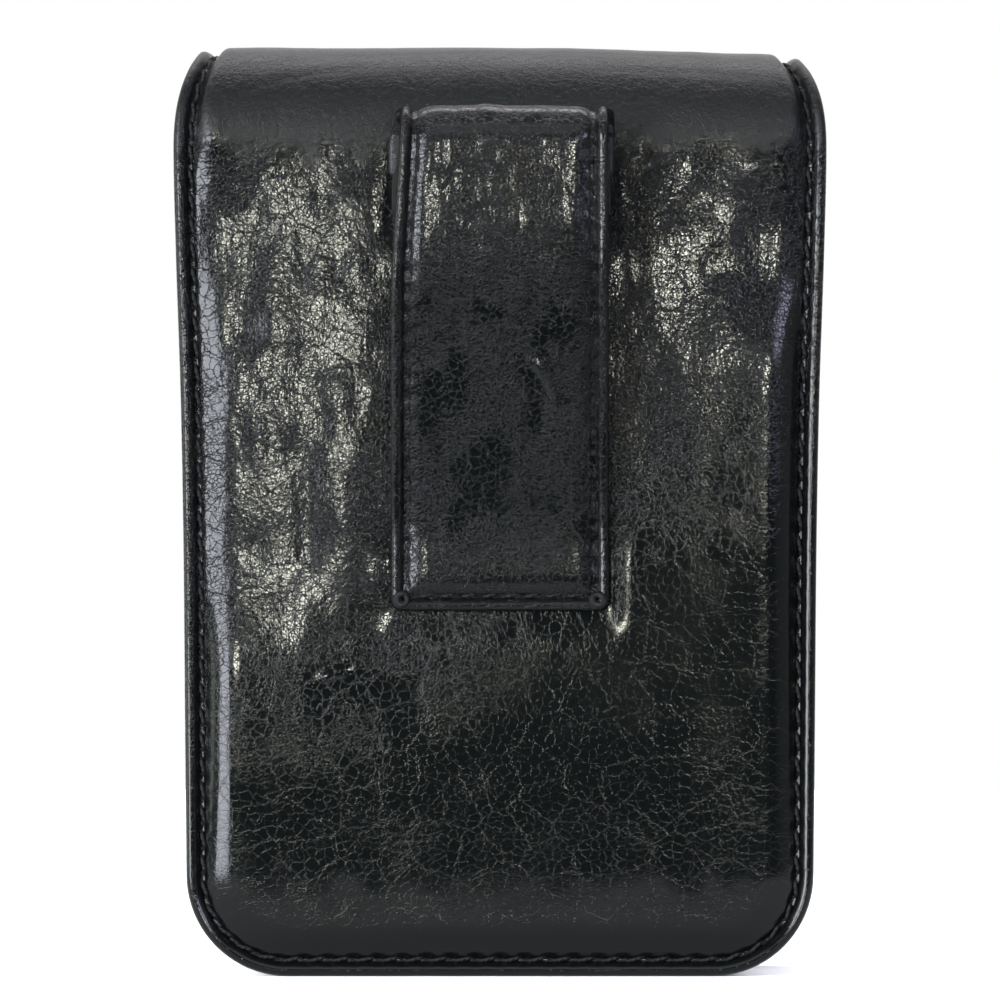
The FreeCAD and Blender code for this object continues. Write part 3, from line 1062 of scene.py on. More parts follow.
@dataclass(frozen=True)
class BlackNickel:
    """Brass pressings plated in black nickel: a dark mirror with rubbed, slightly duller patches."""

    colour: str = "#55565a"

    def make(self) -> Material:
        """Build the material."""
        material, tree, shader = blank("black_nickel")
        place = add(tree, "ShaderNodeTexCoord").outputs["Object"]
        rub = add(tree, "ShaderNodeTexNoise", {"Vector": place, "Scale": 1 / (1.5 * MM), "Detail": 5.0})
        tone = blend_of(tree, rub.outputs["Fac"], linear(self.colour), linear("#77777a"))
        finish(tree, shader, Base_Color=tone, Metallic=1.0,
               Roughness=spread(tree, rub.outputs["Fac"], (0.3, 0.16), (0.75, 0.34)))
        return material


# ---------------------------------------------------------------- the pouch


def corner_of(node: str) -> tuple[Vector, Vector]:
    """Lowest and highest corner of a node, in mm."""
    low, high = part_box(node)
    return low / MM, high / MM


def settle(piece: Object, material: Material, body: str | tuple, nodes: Sequence[str]) -> Object:
    """Dress a finished piece and hang it on its body, or fix it where it lies if it spans a bend.

    Args:
        piece: the finished piece.
        material: its finish.
        body: the body it rides on, or the two bodies and two places of a bend that it spans; such a piece is only fixed
            where it lies, and is not made to bend.
        nodes: the nodes that it stands for.

    Returns:
        The piece.
    """
    dress(piece, material)
    if nodes:
        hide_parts(*nodes)
    if isinstance(body, str):
        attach(piece, body)
    else:
        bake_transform(piece)
    log.info("%s: %d faces", piece.name, len(piece.data.polygons))
    return piece


@dataclass
class Body:
    """The pouch's datum planes, read from the frame, and the radii of its bends, in mm."""

    roll: float = 14.0
    fold: float = 12.0
    back: float = field(init=False)
    face: float = field(init=False)
    flap: float = field(init=False)
    top: float = field(init=False)

    def __post_init__(self) -> None:
        """Read the planes from the frame."""
        self.back = corner_of("back_panel")[0].y
        self.face = corner_of("front_panel")[1].y
        self.flap = corner_of("flap_front_hide")[1].y
        self.top = corner_of("flap_top_hide")[1].z

    @property
    def middle(self) -> float:
        """Where the two flap pieces meet on top."""
        return (self.back + self.roll + self.flap - self.fold) / 2

    def over_back(self, depth: float, face: Face) -> Course:
        """Up the back, over the roll, to the middle of the top, at a depth under the skin."""
        course = Course(self.back + depth, 0.0, 90.0, face).line(self.top - self.roll)
        course.turn(self.roll - depth, -90.0)
        return course.line(self.middle - self.back - self.roll)

    def over_front(self, depth: float, foot: float, face: Face) -> Course:
        """Up the flap's front, over its fold, to the middle of the top."""
        course = Course(self.flap - depth, foot, 90.0, face).line(self.top - self.fold - foot)
        course.turn(self.fold - depth, 90.0)
        return course.line(self.flap - self.fold - self.middle)

    def roll_bend(self) -> tuple[str, str, tuple, tuple]:
        """The blend over the roll."""
        start = (0, self.back * MM, (self.top - self.roll - 2) * MM)
        end = (0, (self.back + self.roll) * MM, self.top * MM)
        return "pouch", "flap_top", start, end

    def fold_bend(self) -> tuple[str, str, tuple, tuple]:
        """The blend over the front fold."""
        start = (0, (self.flap - self.fold) * MM, self.top * MM)
        end = (0, self.flap * MM, (self.top - self.fold) * MM)
        return "flap_top", "flap_front", start, end


LEAN_FROM = 10.0  # the top is level up to here across, in mm
LEAN_SLOPE = 0.032  # and falls this much for each mm beyond


def lean(x: Array) -> Array:
    """How much lower the top lies towards one side, where it has been pressed in use."""
    return -LEAN_SLOPE * np.maximum(x - LEAN_FROM, 0.0)


def crease(x: Array, s: Array, start: tuple[float, float], end: tuple[float, float], width: float) -> Array:
    """A shallow fold line between two places.

    Args:
        x: places across.
        s: distances along the course.
        start: one end of the line.
        end: its other end.
        width: how wide the fold is.

    Returns:
        The fold's share at each place, 1 at its middle.
    """
    dx, ds = end[0] - start[0], end[1] - start[1]
    span = math.hypot(dx, ds)
    along = ((x - start[0]) * dx + (s - start[1]) * ds) / span
    off = ((x - start[0]) * ds - (s - start[1]) * dx) / span + 0.8 * np.sin(along * math.pi / span)
    inside = smooth(along / (0.3 * span)) * smooth((span - along) / (0.3 * span))
    return inside * np.exp(-((off / width) ** 2))


def inward(warp: Warp) -> Warp:
    """The same lean for a sheet that faces the other way."""
    return lambda x, s: (warp(x, s)[0], -warp(x, s)[1])


@dataclass
class Back:
    """Padded back that runs on over the top as the flap: hide, seam, padding and lining."""

    body: Body
    thread: Thread
    widths: Knots = (
        (0.0, 44.7), (14.5, 44.8), (40.0, 45.0), (62.0, 45.2), (83.0, 45.6), (104.0, 46.3),
        (118.0, 46.6), (124.0, 46.3), (128.0, 45.7), (132.0, 44.8), (136.0, 43.9), (141.0, 43.3), (160.0, 43.2),
    )
    left_flank: Knots = (
        (0.0, 0.0), (14.0, -0.03), (20.0, -0.14), (25.0, -0.58), (30.5, -1.12), (37.0, -1.8), (44.0, -2.5),
    )
    right_flank: Knots = (
        (0.0, 0.0), (15.0, -0.03), (22.0, -0.17), (27.0, -0.55), (33.0, -1.2), (39.0, -1.85), (44.0, -2.35),
    )
    stuffed_to: float = 105.0
    thins_over: float = 18.0
    fullest: float = 78.0
    creases: tuple = (
        ((-40.0, 116.4), (-33.5, 118.6), 0.45, 0.10),
        ((-31.5, 115.8), (-25.5, 118.0), 0.5, 0.06),
        ((-42.0, 125.0), (-16.0, 132.0), 0.6, 0.08),
        ((-41.0, 131.0), (8.0, 136.5), 0.7, 0.06),
        ((10.0, 131.0), (41.0, 129.0), 0.7, 0.07),
        ((2.0, 136.0), (38.0, 134.0), 0.6, 0.05),
        ((34.0, 115.5), (42.0, 116.2), 0.4, 0.08),
        ((-26.5, 41.6), (-20.0, 43.6), 0.6, -0.3),
    )

    def stuffed(self, s: Array) -> Array:
        """1 on the stuffed panel, thinning out to 0 over the roll."""
        return 1 - smooth((s - self.stuffed_to) / self.thins_over)

    def crown(self, x: Array, s: Array) -> Array:
        """Swelling of the stuffed panel: a level middle and sloping flanks, dying out over the roll."""
        flank = np.where(x < 0, follow(-x, self.left_flank), follow(x, self.right_flank))
        level = 1.1 + self.steep(x, s) * flank
        level -= 1.6 * (np.minimum(s - self.fullest, 0.0) / self.fullest) ** 2
        return self.stuffed(s) * (level - 0.4 * (np.maximum(s - self.fullest, 0.0) / 40.0) ** 2)

    def steep(self, x: Array, s: Array) -> Array:
        """How far the flanks slope: fully up from the middle, and less at the foot."""
        left, right = smooth((s - 42.0) / 20.0), smooth((s - 86.0) / 15.0)
        return 0.25 + 0.75 * np.where(x < 0, left, right)

    def relief(self, x: Array, s: Array, inset: Array) -> Array:
        """Lumps and creases of the padded back."""
        inner = smooth((inset - 3.0) / 4.0)
        panel = self.stuffed(s)
        lumps = 0.13 * swell(x, s, 5.0, 11.0, 3) + 0.07 * swell(x, s, 2.4, 4.5, 4)
        lumps *= 0.35 + 1.3 * (self.steep(x, s) - 0.25) * smooth((np.abs(x) - 12.0) / 8.0)
        lumps += 0.13 * swell(x, s, 13.0, 26.0, 5)
        sag = -0.25 * panel * np.exp(-(((x + 12) / 16) ** 2) - ((s - 45) / 24) ** 2)
        height = inner * ((0.4 + 0.6 * panel) * lumps + sag)
        under_loop = smooth((19.0 - np.abs(x)) / 4.0)
        pressed = smooth((s - 46.0) / 7.0) * smooth((66.0 - s) / 5.0) + smooth((s - 103.0) / 5.0) * panel
        height -= 0.55 * under_loop * pressed
        for start, end, width, depth in self.creases:
            height -= inner * depth * crease(x, s, start, end, width)
        return height

    def warp(self, x: Array, s: Array) -> tuple[Array, Array]:
        """The lean, coming in over the roll."""
        return np.zeros_like(x), lean(x) * smooth((s - 119.0) / 20.0)

    def sheet(self) -> Sheet:
        """The hide from its foot to the middle of the top."""
        course = self.body.over_back(0.0, Face.LEFT)
        return Sheet(
            "back_hide", Outline(0.0, course.length, 14.5, self.widths), course, TURNED,
            cells=(132, 216), corner_cells=(10, 0), thickness=1.3,
            rise=((0, 2.0), (95, 2.0), (112, 1.7), (134, 1.0), (160, 1.0)), crown=self.crown,
            brink=((0, 7.8), (112, 7.8), (128, 4.6), (160, 4.6)),
            relief=self.relief, warp=self.warp, pitch=self.thread.pitch,
        )

    def make(self, hide: Material, cloth: Material, foam: Material,
             thread: Material) -> None:
        """Model every piece of the back and fix it where it lies."""
        sheet = self.sheet()
        settle(sheet.build(), hide, self.body.roll_bend(), ["back_panel", "flap_top_hide"])
        seam = self.thread.sew("back_seam", self.thread.round_edge(sheet, sheet.outline.end - 1.0))
        settle(seam, thread, self.body.roll_bend(), ["back_seam_thread", "flap_top_thread"])
        course = self.body.over_back(4.8, Face.RIGHT)
        widths = tuple((s, w - 1.6 - 4.0 * (1 - float(smooth(np.array((s - 118) / 12))))) for s, w in self.widths)
        lining = Sheet(
            "back_lining_cloth", Outline(5.7, course.length, 8.8, widths), course, CUT,
            cells=(40, 90), corner_cells=(5, 0), thickness=0.6,
            rise=((0, 0.0), (119, 0.0), (128, 1.6), (160, 2.0)), warp=inward(self.warp),
        )
        piece = settle(lining.build(), cloth, self.body.roll_bend(), ["back_lining", "flap_top_lining"])
        lining.declare()
        course = self.body.over_back(1.5, Face.LEFT)
        widths = tuple((s, w - 6.4) for s, w in self.widths)
        padding = Sheet(
            "back_padding", Outline(6.4, course.length, 8.0, widths), course, CUT,
            cells=(30, 60), corner_cells=(5, 0), thickness=1.7, rise=((0, 0.0), (160, 0.0)),
            warp=self.warp, relief=lambda x, s, inset: self.crown(x, s) - 0.9,
        )
        piece = settle(padding.build(), foam, self.body.roll_bend(), ["back_foam", "flap_top_foam"])


@dataclass
class FlapFront:
    """The flap's hanging front: hide, seam, padding and lining."""

    body: Body
    thread: Thread
    foot: float = 56.0

    def widths(self, less: float) -> Knots:
        """Half widths up from the foot, less an amount."""
        knots = ((0.0, 42.0), (18.0, 42.1), (49.0, 42.4), (65.0, 42.9), (84.0, 43.2), (100.0, 43.2))
        return tuple((s, w - less) for s, w in knots)

    def warp(self, x: Array, s: Array) -> tuple[Array, Array]:
        """The lean, going out over the front fold."""
        return np.zeros_like(x), lean(x) * smooth((s - 67.0) / 17.0)

    def relief(self, x: Array, s: Array, inset: Array) -> Array:
        """Lumps of the flap."""
        lumps = 0.10 * swell(x, s, 5.0, 9.0, 13) + 0.06 * swell(x, s, 2.6, 4.5, 14)
        lumps += 0.16 * swell(x, s, 15.0, 20.0, 15)
        return smooth((inset - 3.0) / 4.0) * smooth(s / 10) * smooth((92 - s) / 16) * lumps

    def crown(self, x: Array, s: Array) -> Array:
        """Swelling of the flap's front, dying out over the fold."""
        return smooth((84 - s) / 20) * (0.5 - 0.8 * np.abs(x / 40.0) ** 3)

    def make(self, hide: Material, cloth: Material, foam: Material,
             thread: Material) -> None:
        """Model every piece of the flap's front and fix it where it lies."""
        bend = self.body.fold_bend()
        course = self.body.over_front(0.0, self.foot, Face.RIGHT)
        back_length = self.body.over_back(0.0, Face.LEFT).length
        sheet = Sheet(
            "flap_hide", Outline(0.0, course.length, 18.0, self.widths(0.0)), course, TURNED,
            cells=(120, 132), corner_cells=(12, 0), thickness=1.3, rise=((0, 0.9), (60, 0.9), (90, 1.0)),
            crown=self.crown, brink=((0, 7.8), (62, 7.8), (78, 4.6), (100, 4.6)),
            relief=self.relief, warp=self.warp, pitch=self.thread.pitch,
            lay_from=(back_length + course.length, -1.0),
        )
        settle(sheet.build(), hide, bend, ["flap_front_hide"])
        seam = self.thread.sew("flap_seam", self.thread.round_edge(sheet, course.length - 1.0))
        settle(seam, thread, bend, ["flap_front_thread"])
        course = self.body.over_front(4.0, self.foot, Face.LEFT)
        lining = Sheet(
            "flap_lining_cloth", Outline(1.4, course.length, 16.6, self.widths(1.5)), course, CUT,
            cells=(40, 60), corner_cells=(8, 0), thickness=0.6, rise=((0, 1.5), (100, 1.6)),
            warp=inward(self.warp),
        )
        piece = settle(lining.build(), cloth, bend, ["flap_front_lining"])
        lining.declare()
        course = self.body.over_front(1.6, self.foot, Face.RIGHT)
        padding = Sheet(
            "flap_padding", Outline(6.0, course.length, 12.0, self.widths(6.2)), course, CUT,
            cells=(30, 44), corner_cells=(6, 0), thickness=0.9, rise=((0, 0.0), (100, 0.0)),
            warp=self.warp, relief=lambda x, s, inset: self.crown(x, s) - 0.7,
        )
        piece = settle(padding.build(), foam, bend, ["flap_front_foam"])


@dataclass
class Front:
    """Padded front panel with its hem along the mouth."""

    body: Body
    thread: Thread
    mouth: float = 112.0

    def relief(self, x: Array, s: Array, inset: Array) -> Array:
        """Lumps of the front."""
        lumps = 0.12 * swell(x, s, 5.0, 10.0, 23) + 0.07 * swell(x, s, 2.6, 4.5, 24)
        return smooth((inset - 3.0) / 4.0) * (lumps + 0.2 * swell(x, s, 14.0, 22.0, 25))

    def crown(self, x: Array, s: Array) -> Array:
        """Swelling of the stuffed front."""
        return 0.3 - 1.2 * np.abs(x / 41.0) ** 3 - 0.5 * ((s - 56) / 56) ** 2

    def make(self, hide: Material, cloth: Material, foam: Material,
             thread: Material) -> None:
        """Model and hang the front's hide, seams, padding and lining."""
        widths = tuple((s, w) for s, w in Back(self.body, self.thread).widths if s < 119)
        course = Course(self.body.face, 0.0, 90.0, Face.RIGHT).line(self.mouth)
        sheet = Sheet(
            "front_hide", Outline(0.0, self.mouth, 14.5, widths, 3.0), course, TURNED,
            cells=(120, 150), corner_cells=(10, 3), thickness=1.3, rise=((0, 2.0), (90, 2.0), (112, 1.2)),
            crown=self.crown, relief=self.relief, pitch=self.thread.pitch, lay_from=(330.0, -1.0),
        )
        settle(sheet.build(), hide, "pouch", ["front_panel"])
        seam = self.thread.sew("front_seam", self.thread.round_edge(sheet, self.mouth - 3.0))
        settle(seam, thread, "pouch", ["front_seam_thread"])
        hem = self.thread.sew("mouth_seam", self.thread.across(sheet, self.mouth - 2.45, 38.0))
        settle(hem, thread, "pouch", ["mouth_thread"])
        course = Course(self.body.face - 4.8, 0.0, 90.0, Face.LEFT).line(self.mouth)
        lining = Sheet(
            "front_lining_cloth", Outline(5.7, self.mouth - 0.3, 8.8, tuple((s, w - 5.6) for s, w in widths), 1.5),
            course, CUT, cells=(40, 60), corner_cells=(5, 2), thickness=0.6, rise=((0, 0.0), (120, 0.0)),
        )
        piece = settle(lining.build(), cloth, "pouch", ["front_lining"])
        lining.declare()
        course = Course(self.body.face - 1.5, 0.0, 90.0, Face.RIGHT).line(self.mouth)
        padding = Sheet(
            "front_padding", Outline(6.0, self.mouth - 1.6, 8.4, tuple((s, w - 6.2) for s, w in widths), 2.0),
            course, CUT, cells=(30, 44), corner_cells=(5, 2), thickness=1.5, rise=((0, 0.0), (120, 0.0)),
            relief=lambda x, s, inset: self.crown(x, s) - 0.5,
        )
        piece = settle(padding.build(), foam, "pouch", ["front_foam"])


@dataclass
class Gusset:
    """The strip round the sides and base, with flanges turned out to both seams."""

    body: Body
    mouth_back: float = 118.0
    mouth_front: float = 112.0
    flange: float = 1.2
    wall: float = 4.0
    bend: float = 1.6
    corner: float = 14.5

    def section(self) -> list[tuple[float, float, float]]:
        """The hide's cross-section as a closed ring of (inset, share of the depth, depth offset)."""
        wall, inner_wall = self.wall, self.wall + self.flange
        outer = [(0.45, 0.0, 0.15), (0.4, 0.0, 0.6), (0.5, 0.0, 1.1)]
        for turn in (i * math.pi / 8 for i in range(5)):
            outer.append((wall - self.bend * (1 - math.sin(turn)), 0.0, self.flange + self.bend * (1 - math.cos(turn))))
        outer += [(wall, share, 0.0) for share in (0.15, 0.25, 0.35, 0.45, 0.5)]
        inner = [(inner_wall, share, 0.0) for share in (0.35, 0.2)]
        inner += [(inner_wall, 0.0, 2.6), (inner_wall, 0.0, 0.2), (wall + 0.6, 0.0, 0.0), (2.5, 0.0, 0.0)]
        return self.closed(outer, [(inner_wall, 0.5, 0.0)] + inner)

    def closed(self, outer: list, inner: list) -> list[tuple[float, float, float]]:
        """Close a half section over its middle: out to the far side and back along the inside."""
        flipped = [[(inset, 1 - share, -off) for inset, share, off in half] for half in (outer, inner)]
        return outer + flipped[0][-2::-1] + flipped[1][::-1] + inner[1:]

    def strip(self, name: str, node: str, ring_of: list[tuple[float, float, float]]) -> Object:
        """Bend a section round the sides and base.

        Args:
            name: the piece's name.
            node: the CAD node whose depth it fills.
            ring_of: the closed section.

        Returns:
            The strip, in place.
        """
        low, high = corner_of(node)
        whole_low, whole_high = corner_of("gusset")
        widths = tuple((s, w) for s, w in Back(self.body, Thread()).widths if s < 119)
        outline = Outline(0.0, self.mouth_back, self.corner, widths)
        columns, rows = 220, len(ring_of)
        piece = unit_grid(name, columns, rows)
        points = read_points(piece)
        t, ring = points[:, 0], np.rint(points[:, 1] * rows).astype(int) % rows
        inset, part, off = (np.array([p[i] for p in ring_of])[ring] for i in range(3))
        y = low.y + part * (high.y - low.y) + off
        side = 0.4
        b = np.where(t < 0.5, 1 - t / side, (t - (1 - side)) / side)
        a = np.clip((t - side) / (1 - 2 * side), 0, 1)
        on_side = (t <= side) | (t >= 1 - side)
        x1, s1 = outline.side(np.clip(b, 0, 1), inset, (0.08, 0.0))
        x0, s0 = outline.level(a, inset, 0.12, False)
        x = np.where(on_side, np.sign(t - 0.5) * x1, x0)
        s = np.where(on_side, s1, s0)
        share = np.clip((y - whole_low.y) / (whole_high.y - whole_low.y), 0, 1)
        s = s - (self.mouth_back - self.mouth_front) * share * smooth((s - 40) / (self.mouth_back - 40))
        run = np.where(on_side, np.sign(t - 0.5) * (s + 40), x)
        sag = np.sin(share * math.pi) ** 1.5
        sag *= 0.9 + 0.35 * swell(run, y, 14.0, 30.0, 31) + 0.12 * swell(run, y, 4.0, 12.0, 32)
        centre = float(outline.half(np.array([self.corner]))[0]) - self.corner
        bent = (s < self.corner) & (np.abs(x) > centre)
        away = np.hypot(np.abs(x) - centre, s - self.corner) + 1e-9
        x_in = np.where(bent, -np.sign(x) * (np.abs(x) - centre) / away, np.where(on_side, -np.sign(x), 0.0))
        z_in = np.where(bent, (self.corner - s) / away, np.where(on_side, 0.0, 1.0))
        sag = np.where(inset > self.wall - self.bend, sag, 0.0)
        write_points(piece, np.stack([x + x_in * sag, y, s + z_in * sag], axis=1) * MM)
        write_lay(piece, np.stack([run + 500, y, inset], axis=1))
        with editing(piece):
            bpy.ops.mesh.select_all(action="SELECT")
            bpy.ops.mesh.remove_doubles(threshold=1e-7)
            bpy.ops.mesh.fill_holes(sides=0)
        face_outwards(piece)
        return piece

    def make(self, hide: Material, cloth: Material) -> None:
        """Model and hang the gusset and its lining."""
        settle(self.strip("gusset_hide", "gusset", self.section()), hide, "pouch", ["gusset"])
        near = self.wall + self.flange + 0.65
        outer = [(near, share, 0.0) for share in (0.0, 0.15, 0.3, 0.4, 0.5)]
        inner = [(near + 0.55, share, 0.0) for share in (0.5, 0.4, 0.3, 0.15, 0.0)]
        lining = self.strip("gusset_lining_cloth", "gusset_lining", self.closed(outer, inner))
        settle(lining, cloth, "pouch", ["gusset_lining"])


@dataclass
class BeltLoop:
    """Belt loop: strap with turned edges, folded over at the top and sewn down at its foot."""

    thread: Thread
    slope: float = 11.0
    slope_radii: tuple[float, float] = (34.0, 60.0)
    foot_length: float = 8.8
    creases: tuple = (
        ((3.5, 37.0), (8.0, 30.0), 0.6, -0.4),
        ((-6.0, 55.0), (-1.0, 58.0), 0.5, 0.12),
        ((4.0, 50.0), (9.0, 52.0), 0.4, 0.12),
        ((-9.0, 60.5), (-5.0, 63.5), 0.4, 0.12),
    )

    def course(self, less: float, face: Face) -> Course:
        """The strap's line from its foot up, over the turn and down behind."""
        low, high = corner_of("loop_strap")
        back = corner_of("back_panel")[0].y
        foot_y = back - 2.6
        proud = back - low.y
        first, second = self.slope_radii
        angle = math.radians(self.slope)
        outward = foot_y - low.y - (first + second) * (1 - math.cos(angle))
        run = outward / math.sin(angle)
        climb = (first + second) * math.sin(angle) + run * math.cos(angle)
        radius = proud / 2
        course = Course(foot_y + less, low.z, 90.0, face).line(self.foot_length)
        course.turn(first - less, self.slope).line(run).turn(second + less, -self.slope)
        course.line(high.z - radius - low.z - self.foot_length - climb)
        course.turn(radius - less, -180.0)
        return course.line(high.z - radius - 106.0)

    def relief(self, x: Array, s: Array, inset: Array) -> Array:
        """Lumps, pulls and small creases of the strap."""
        inner = smooth((inset - 1.5) / 2.5)
        lumps = 0.12 * swell(x, s, 3.4, 6.0, 41) + 0.07 * swell(x, s, 1.6, 4.2, 42)
        height = inner * (0.25 * (1 - (x / 12.0) ** 2) + lumps) * (0.15 + 0.85 * smooth((s - 7.0) / 15.0))
        for start, end, width, depth in self.creases:
            height -= inner * depth * crease(x, s, start, end, width)
        return height

    def warp(self, x: Array, s: Array) -> tuple[Array, Array]:
        """One edge draws in towards the top, where it was cut narrower."""
        drawn = 1.3 * smooth((s - 44.0) / 30.0) * (1 - 0.7 * smooth((s - 78.0) / 6.0))
        return drawn * np.clip(-x / 15.0, 0.0, 1.0), np.zeros_like(x)

    def make(self, hide: Material, inner: Material, webbing: Material,
             thread: Material) -> None:
        """Model and hang the loop."""
        edge = TURNED.scaled(0.9, 5.6)
        course = self.course(0.0, Face.LEFT)
        widths = ((0.0, 15.6), (30.0, 15.5), (75.0, 15.4), (77.5, 16.3), (87.5, 16.3),
                  (88.7, 15.0), (92.0, 14.6), (110.0, 14.6))
        sheet = Sheet(
            "loop_hide", Outline(0.0, course.length, 1.6, widths), course, edge,
            cells=(64, 190), corner_cells=(2, 0), thickness=1.1, rise=((0, 0.45), (120, 0.45)),
            relief=self.relief, warp=self.warp, pitch=self.thread.pitch * 0.86, lay_from=(700.0, 1.0),
        )
        settle(sheet.build(), hide, "pouch", ["loop_strap"])
        fine = Thread(pitch=self.thread.pitch * 0.86, length=2.3, radius=0.26, slant=6.0, dive=0.34)
        turn = course.length - 13.0 - 8.0
        seam = fine.sew("loop_seam", fine.round_edge(sheet, turn))
        settle(seam, thread, "pouch", ["loop_side_thread", "loop_bottom_thread"])
        course = self.course(1.8, Face.RIGHT)
        widths = tuple((s, w - 0.5) for s, w in widths)
        lining = Sheet(
            "loop_inner", Outline(0.6, course.length, 1.4, widths), course, CUT,
            cells=(24, 120), corner_cells=(2, 0), thickness=0.75, rise=((0, 0.0), (120, 0.0)),
            warp=self.warp, lay_from=(820.0, 1.0),
        )
        settle(lining.build(), inner, "pouch", ["loop_lining"])
        course = self.course(1.15, Face.LEFT)
        core = Sheet(
            "loop_webbing", Outline(1.5, course.length - 1.0, 1.4, tuple((s, w - 2.6) for s, w in widths)),
            course, CUT, cells=(16, 100), corner_cells=(2, 0), thickness=0.5, rise=((0, 0.0), (120, 0.0)),
            warp=self.warp,
        )
        settle(core.build(), webbing, "pouch", ["loop_core"])


class PressStud:
    """The press stud: domed cap and socket on the flap, knob and post on the front."""

    def spun(self, name: str, outline: Sequence[tuple[float, float]], steps: int = 48) -> Object:
        """Spin a half section round the stud's line.

        Args:
            name: the piece's name.
            outline: (radius, place along Y) in mm, from the line out and back to it.
            steps: faces round the piece.

        Returns:
            The turned piece.
        """
        low, high = corner_of("snap_cap")
        height = (low.z + high.z) / 2
        bpy.ops.object.select_all(action="DESELECT")
        bpy.ops.mesh.primitive_circle_add(vertices=len(outline), radius=1.0)
        piece = bpy.context.object
        piece.name = piece.data.name = name
        write_points(piece, np.array([(r, y, height) for r, y in outline]) * MM)
        with editing(piece) as mesh:
            for edge in mesh.edges:
                edge.select_set(all(abs(v.co.x) < 1e-7 for v in edge.verts))
            bpy.ops.mesh.delete(type="EDGE")
            bpy.ops.mesh.select_all(action="SELECT")
            bpy.ops.mesh.spin(
                steps=steps, angle=2 * math.pi, center=(0, 0, height * MM), axis=(0, 1, 0)
            )
            bpy.ops.mesh.select_all(action="SELECT")
            bpy.ops.mesh.remove_doubles(threshold=1e-7)
        face_outwards(piece, 35)
        return piece

    def make(self, metal: Material) -> None:
        """Model and hang the stud's three pieces: cap, socket and knob."""
        low, high = corner_of("snap_cap")
        skin, crown = corner_of("flap_front_hide")[1].y, high.y
        radius = high.x
        cap = [(0, crown), (radius * 0.35, crown - 0.06), (radius * 0.62, crown - 0.22),
               (radius * 0.8, crown - 0.42), (radius * 0.93, crown - 0.72), (radius, crown - 1.05),
               (radius * 0.995, skin + 0.1), (radius * 0.93, skin - 0.1), (1.5, skin - 0.1),
               (1.5, low.y), (0, low.y)]
        settle(self.spun("press_cap", cap), metal, "flap_front", ["snap_cap"])
        near, far = corner_of("snap_socket")
        width = far.x
        socket = [(1.55, far.y), (width * 0.9, far.y), (width, far.y - 0.35), (width * 0.98, near.y + 0.7),
                  (width * 0.86, near.y + 0.15), (width * 0.76, near.y), (width * 0.68, near.y + 0.2),
                  (width * 0.64, near.y + 0.65), (3.25, near.y + 0.75), (3.2, near.y + 0.3),
                  (3.05, near.y + 0.4), (3.2, far.y - 0.5), (1.55, far.y - 0.45)]
        settle(self.spun("press_socket", socket), metal, "flap_front", ["snap_socket"])
        near, far = corner_of("snap_stud")
        width = far.x
        knob = [(0, far.y), (1.3, far.y - 0.06), (2.0, far.y - 0.4), (2.2, far.y - 0.8), (1.95, far.y - 1.35),
                (1.9, near.y + 0.75), (2.6, near.y + 0.6), (width * 0.85, near.y + 0.55),
                (width, near.y + 0.2), (width * 0.99, near.y), (0, near.y)]
        settle(self.spun("press_knob", knob), metal, "pouch", ["snap_stud"])


# ---------------------------------------------------------------- stage


@dataclass(frozen=True)
class SoftBox:
    """A rectangular light that faces the middle of the pouch.

    Args:
        name: the light's name.
        at: where it hangs: across, back from the padded back, and up, in metres.
        size: its width and height, in metres.
        power: in watts.
        colour: of its light.
    """

    name: str
    at: tuple[float, float, float]
    size: tuple[float, float]
    power: float
    colour: str


LIGHTS = (
    SoftBox("left_window", (-0.325, -1.5, 0.125), (0.12, 0.19), 10.5, "#fcfdec"),
    SoftBox("right_window", (0.325, -1.5, 0.185), (0.13, 0.12), 10.0, "#fcfdec"),
    SoftBox("left_wall", (-1.09, -1.05, 0.25), (0.9, 0.8), 100.0, "#f1f5ff"),
    SoftBox("left_side", (-1.5, 0.1, 0.3), (0.8, 1.0), 16.0, "#fbfff2"),
    SoftBox("right_wall", (1.02, -1.1, 0.46), (0.75, 0.4), 26.0, "#dcdcff"),
    SoftBox("front_top", (0.0, -1.0, 1.0), (1.6, 0.9), 16.5, "#f4fbf8"),
)


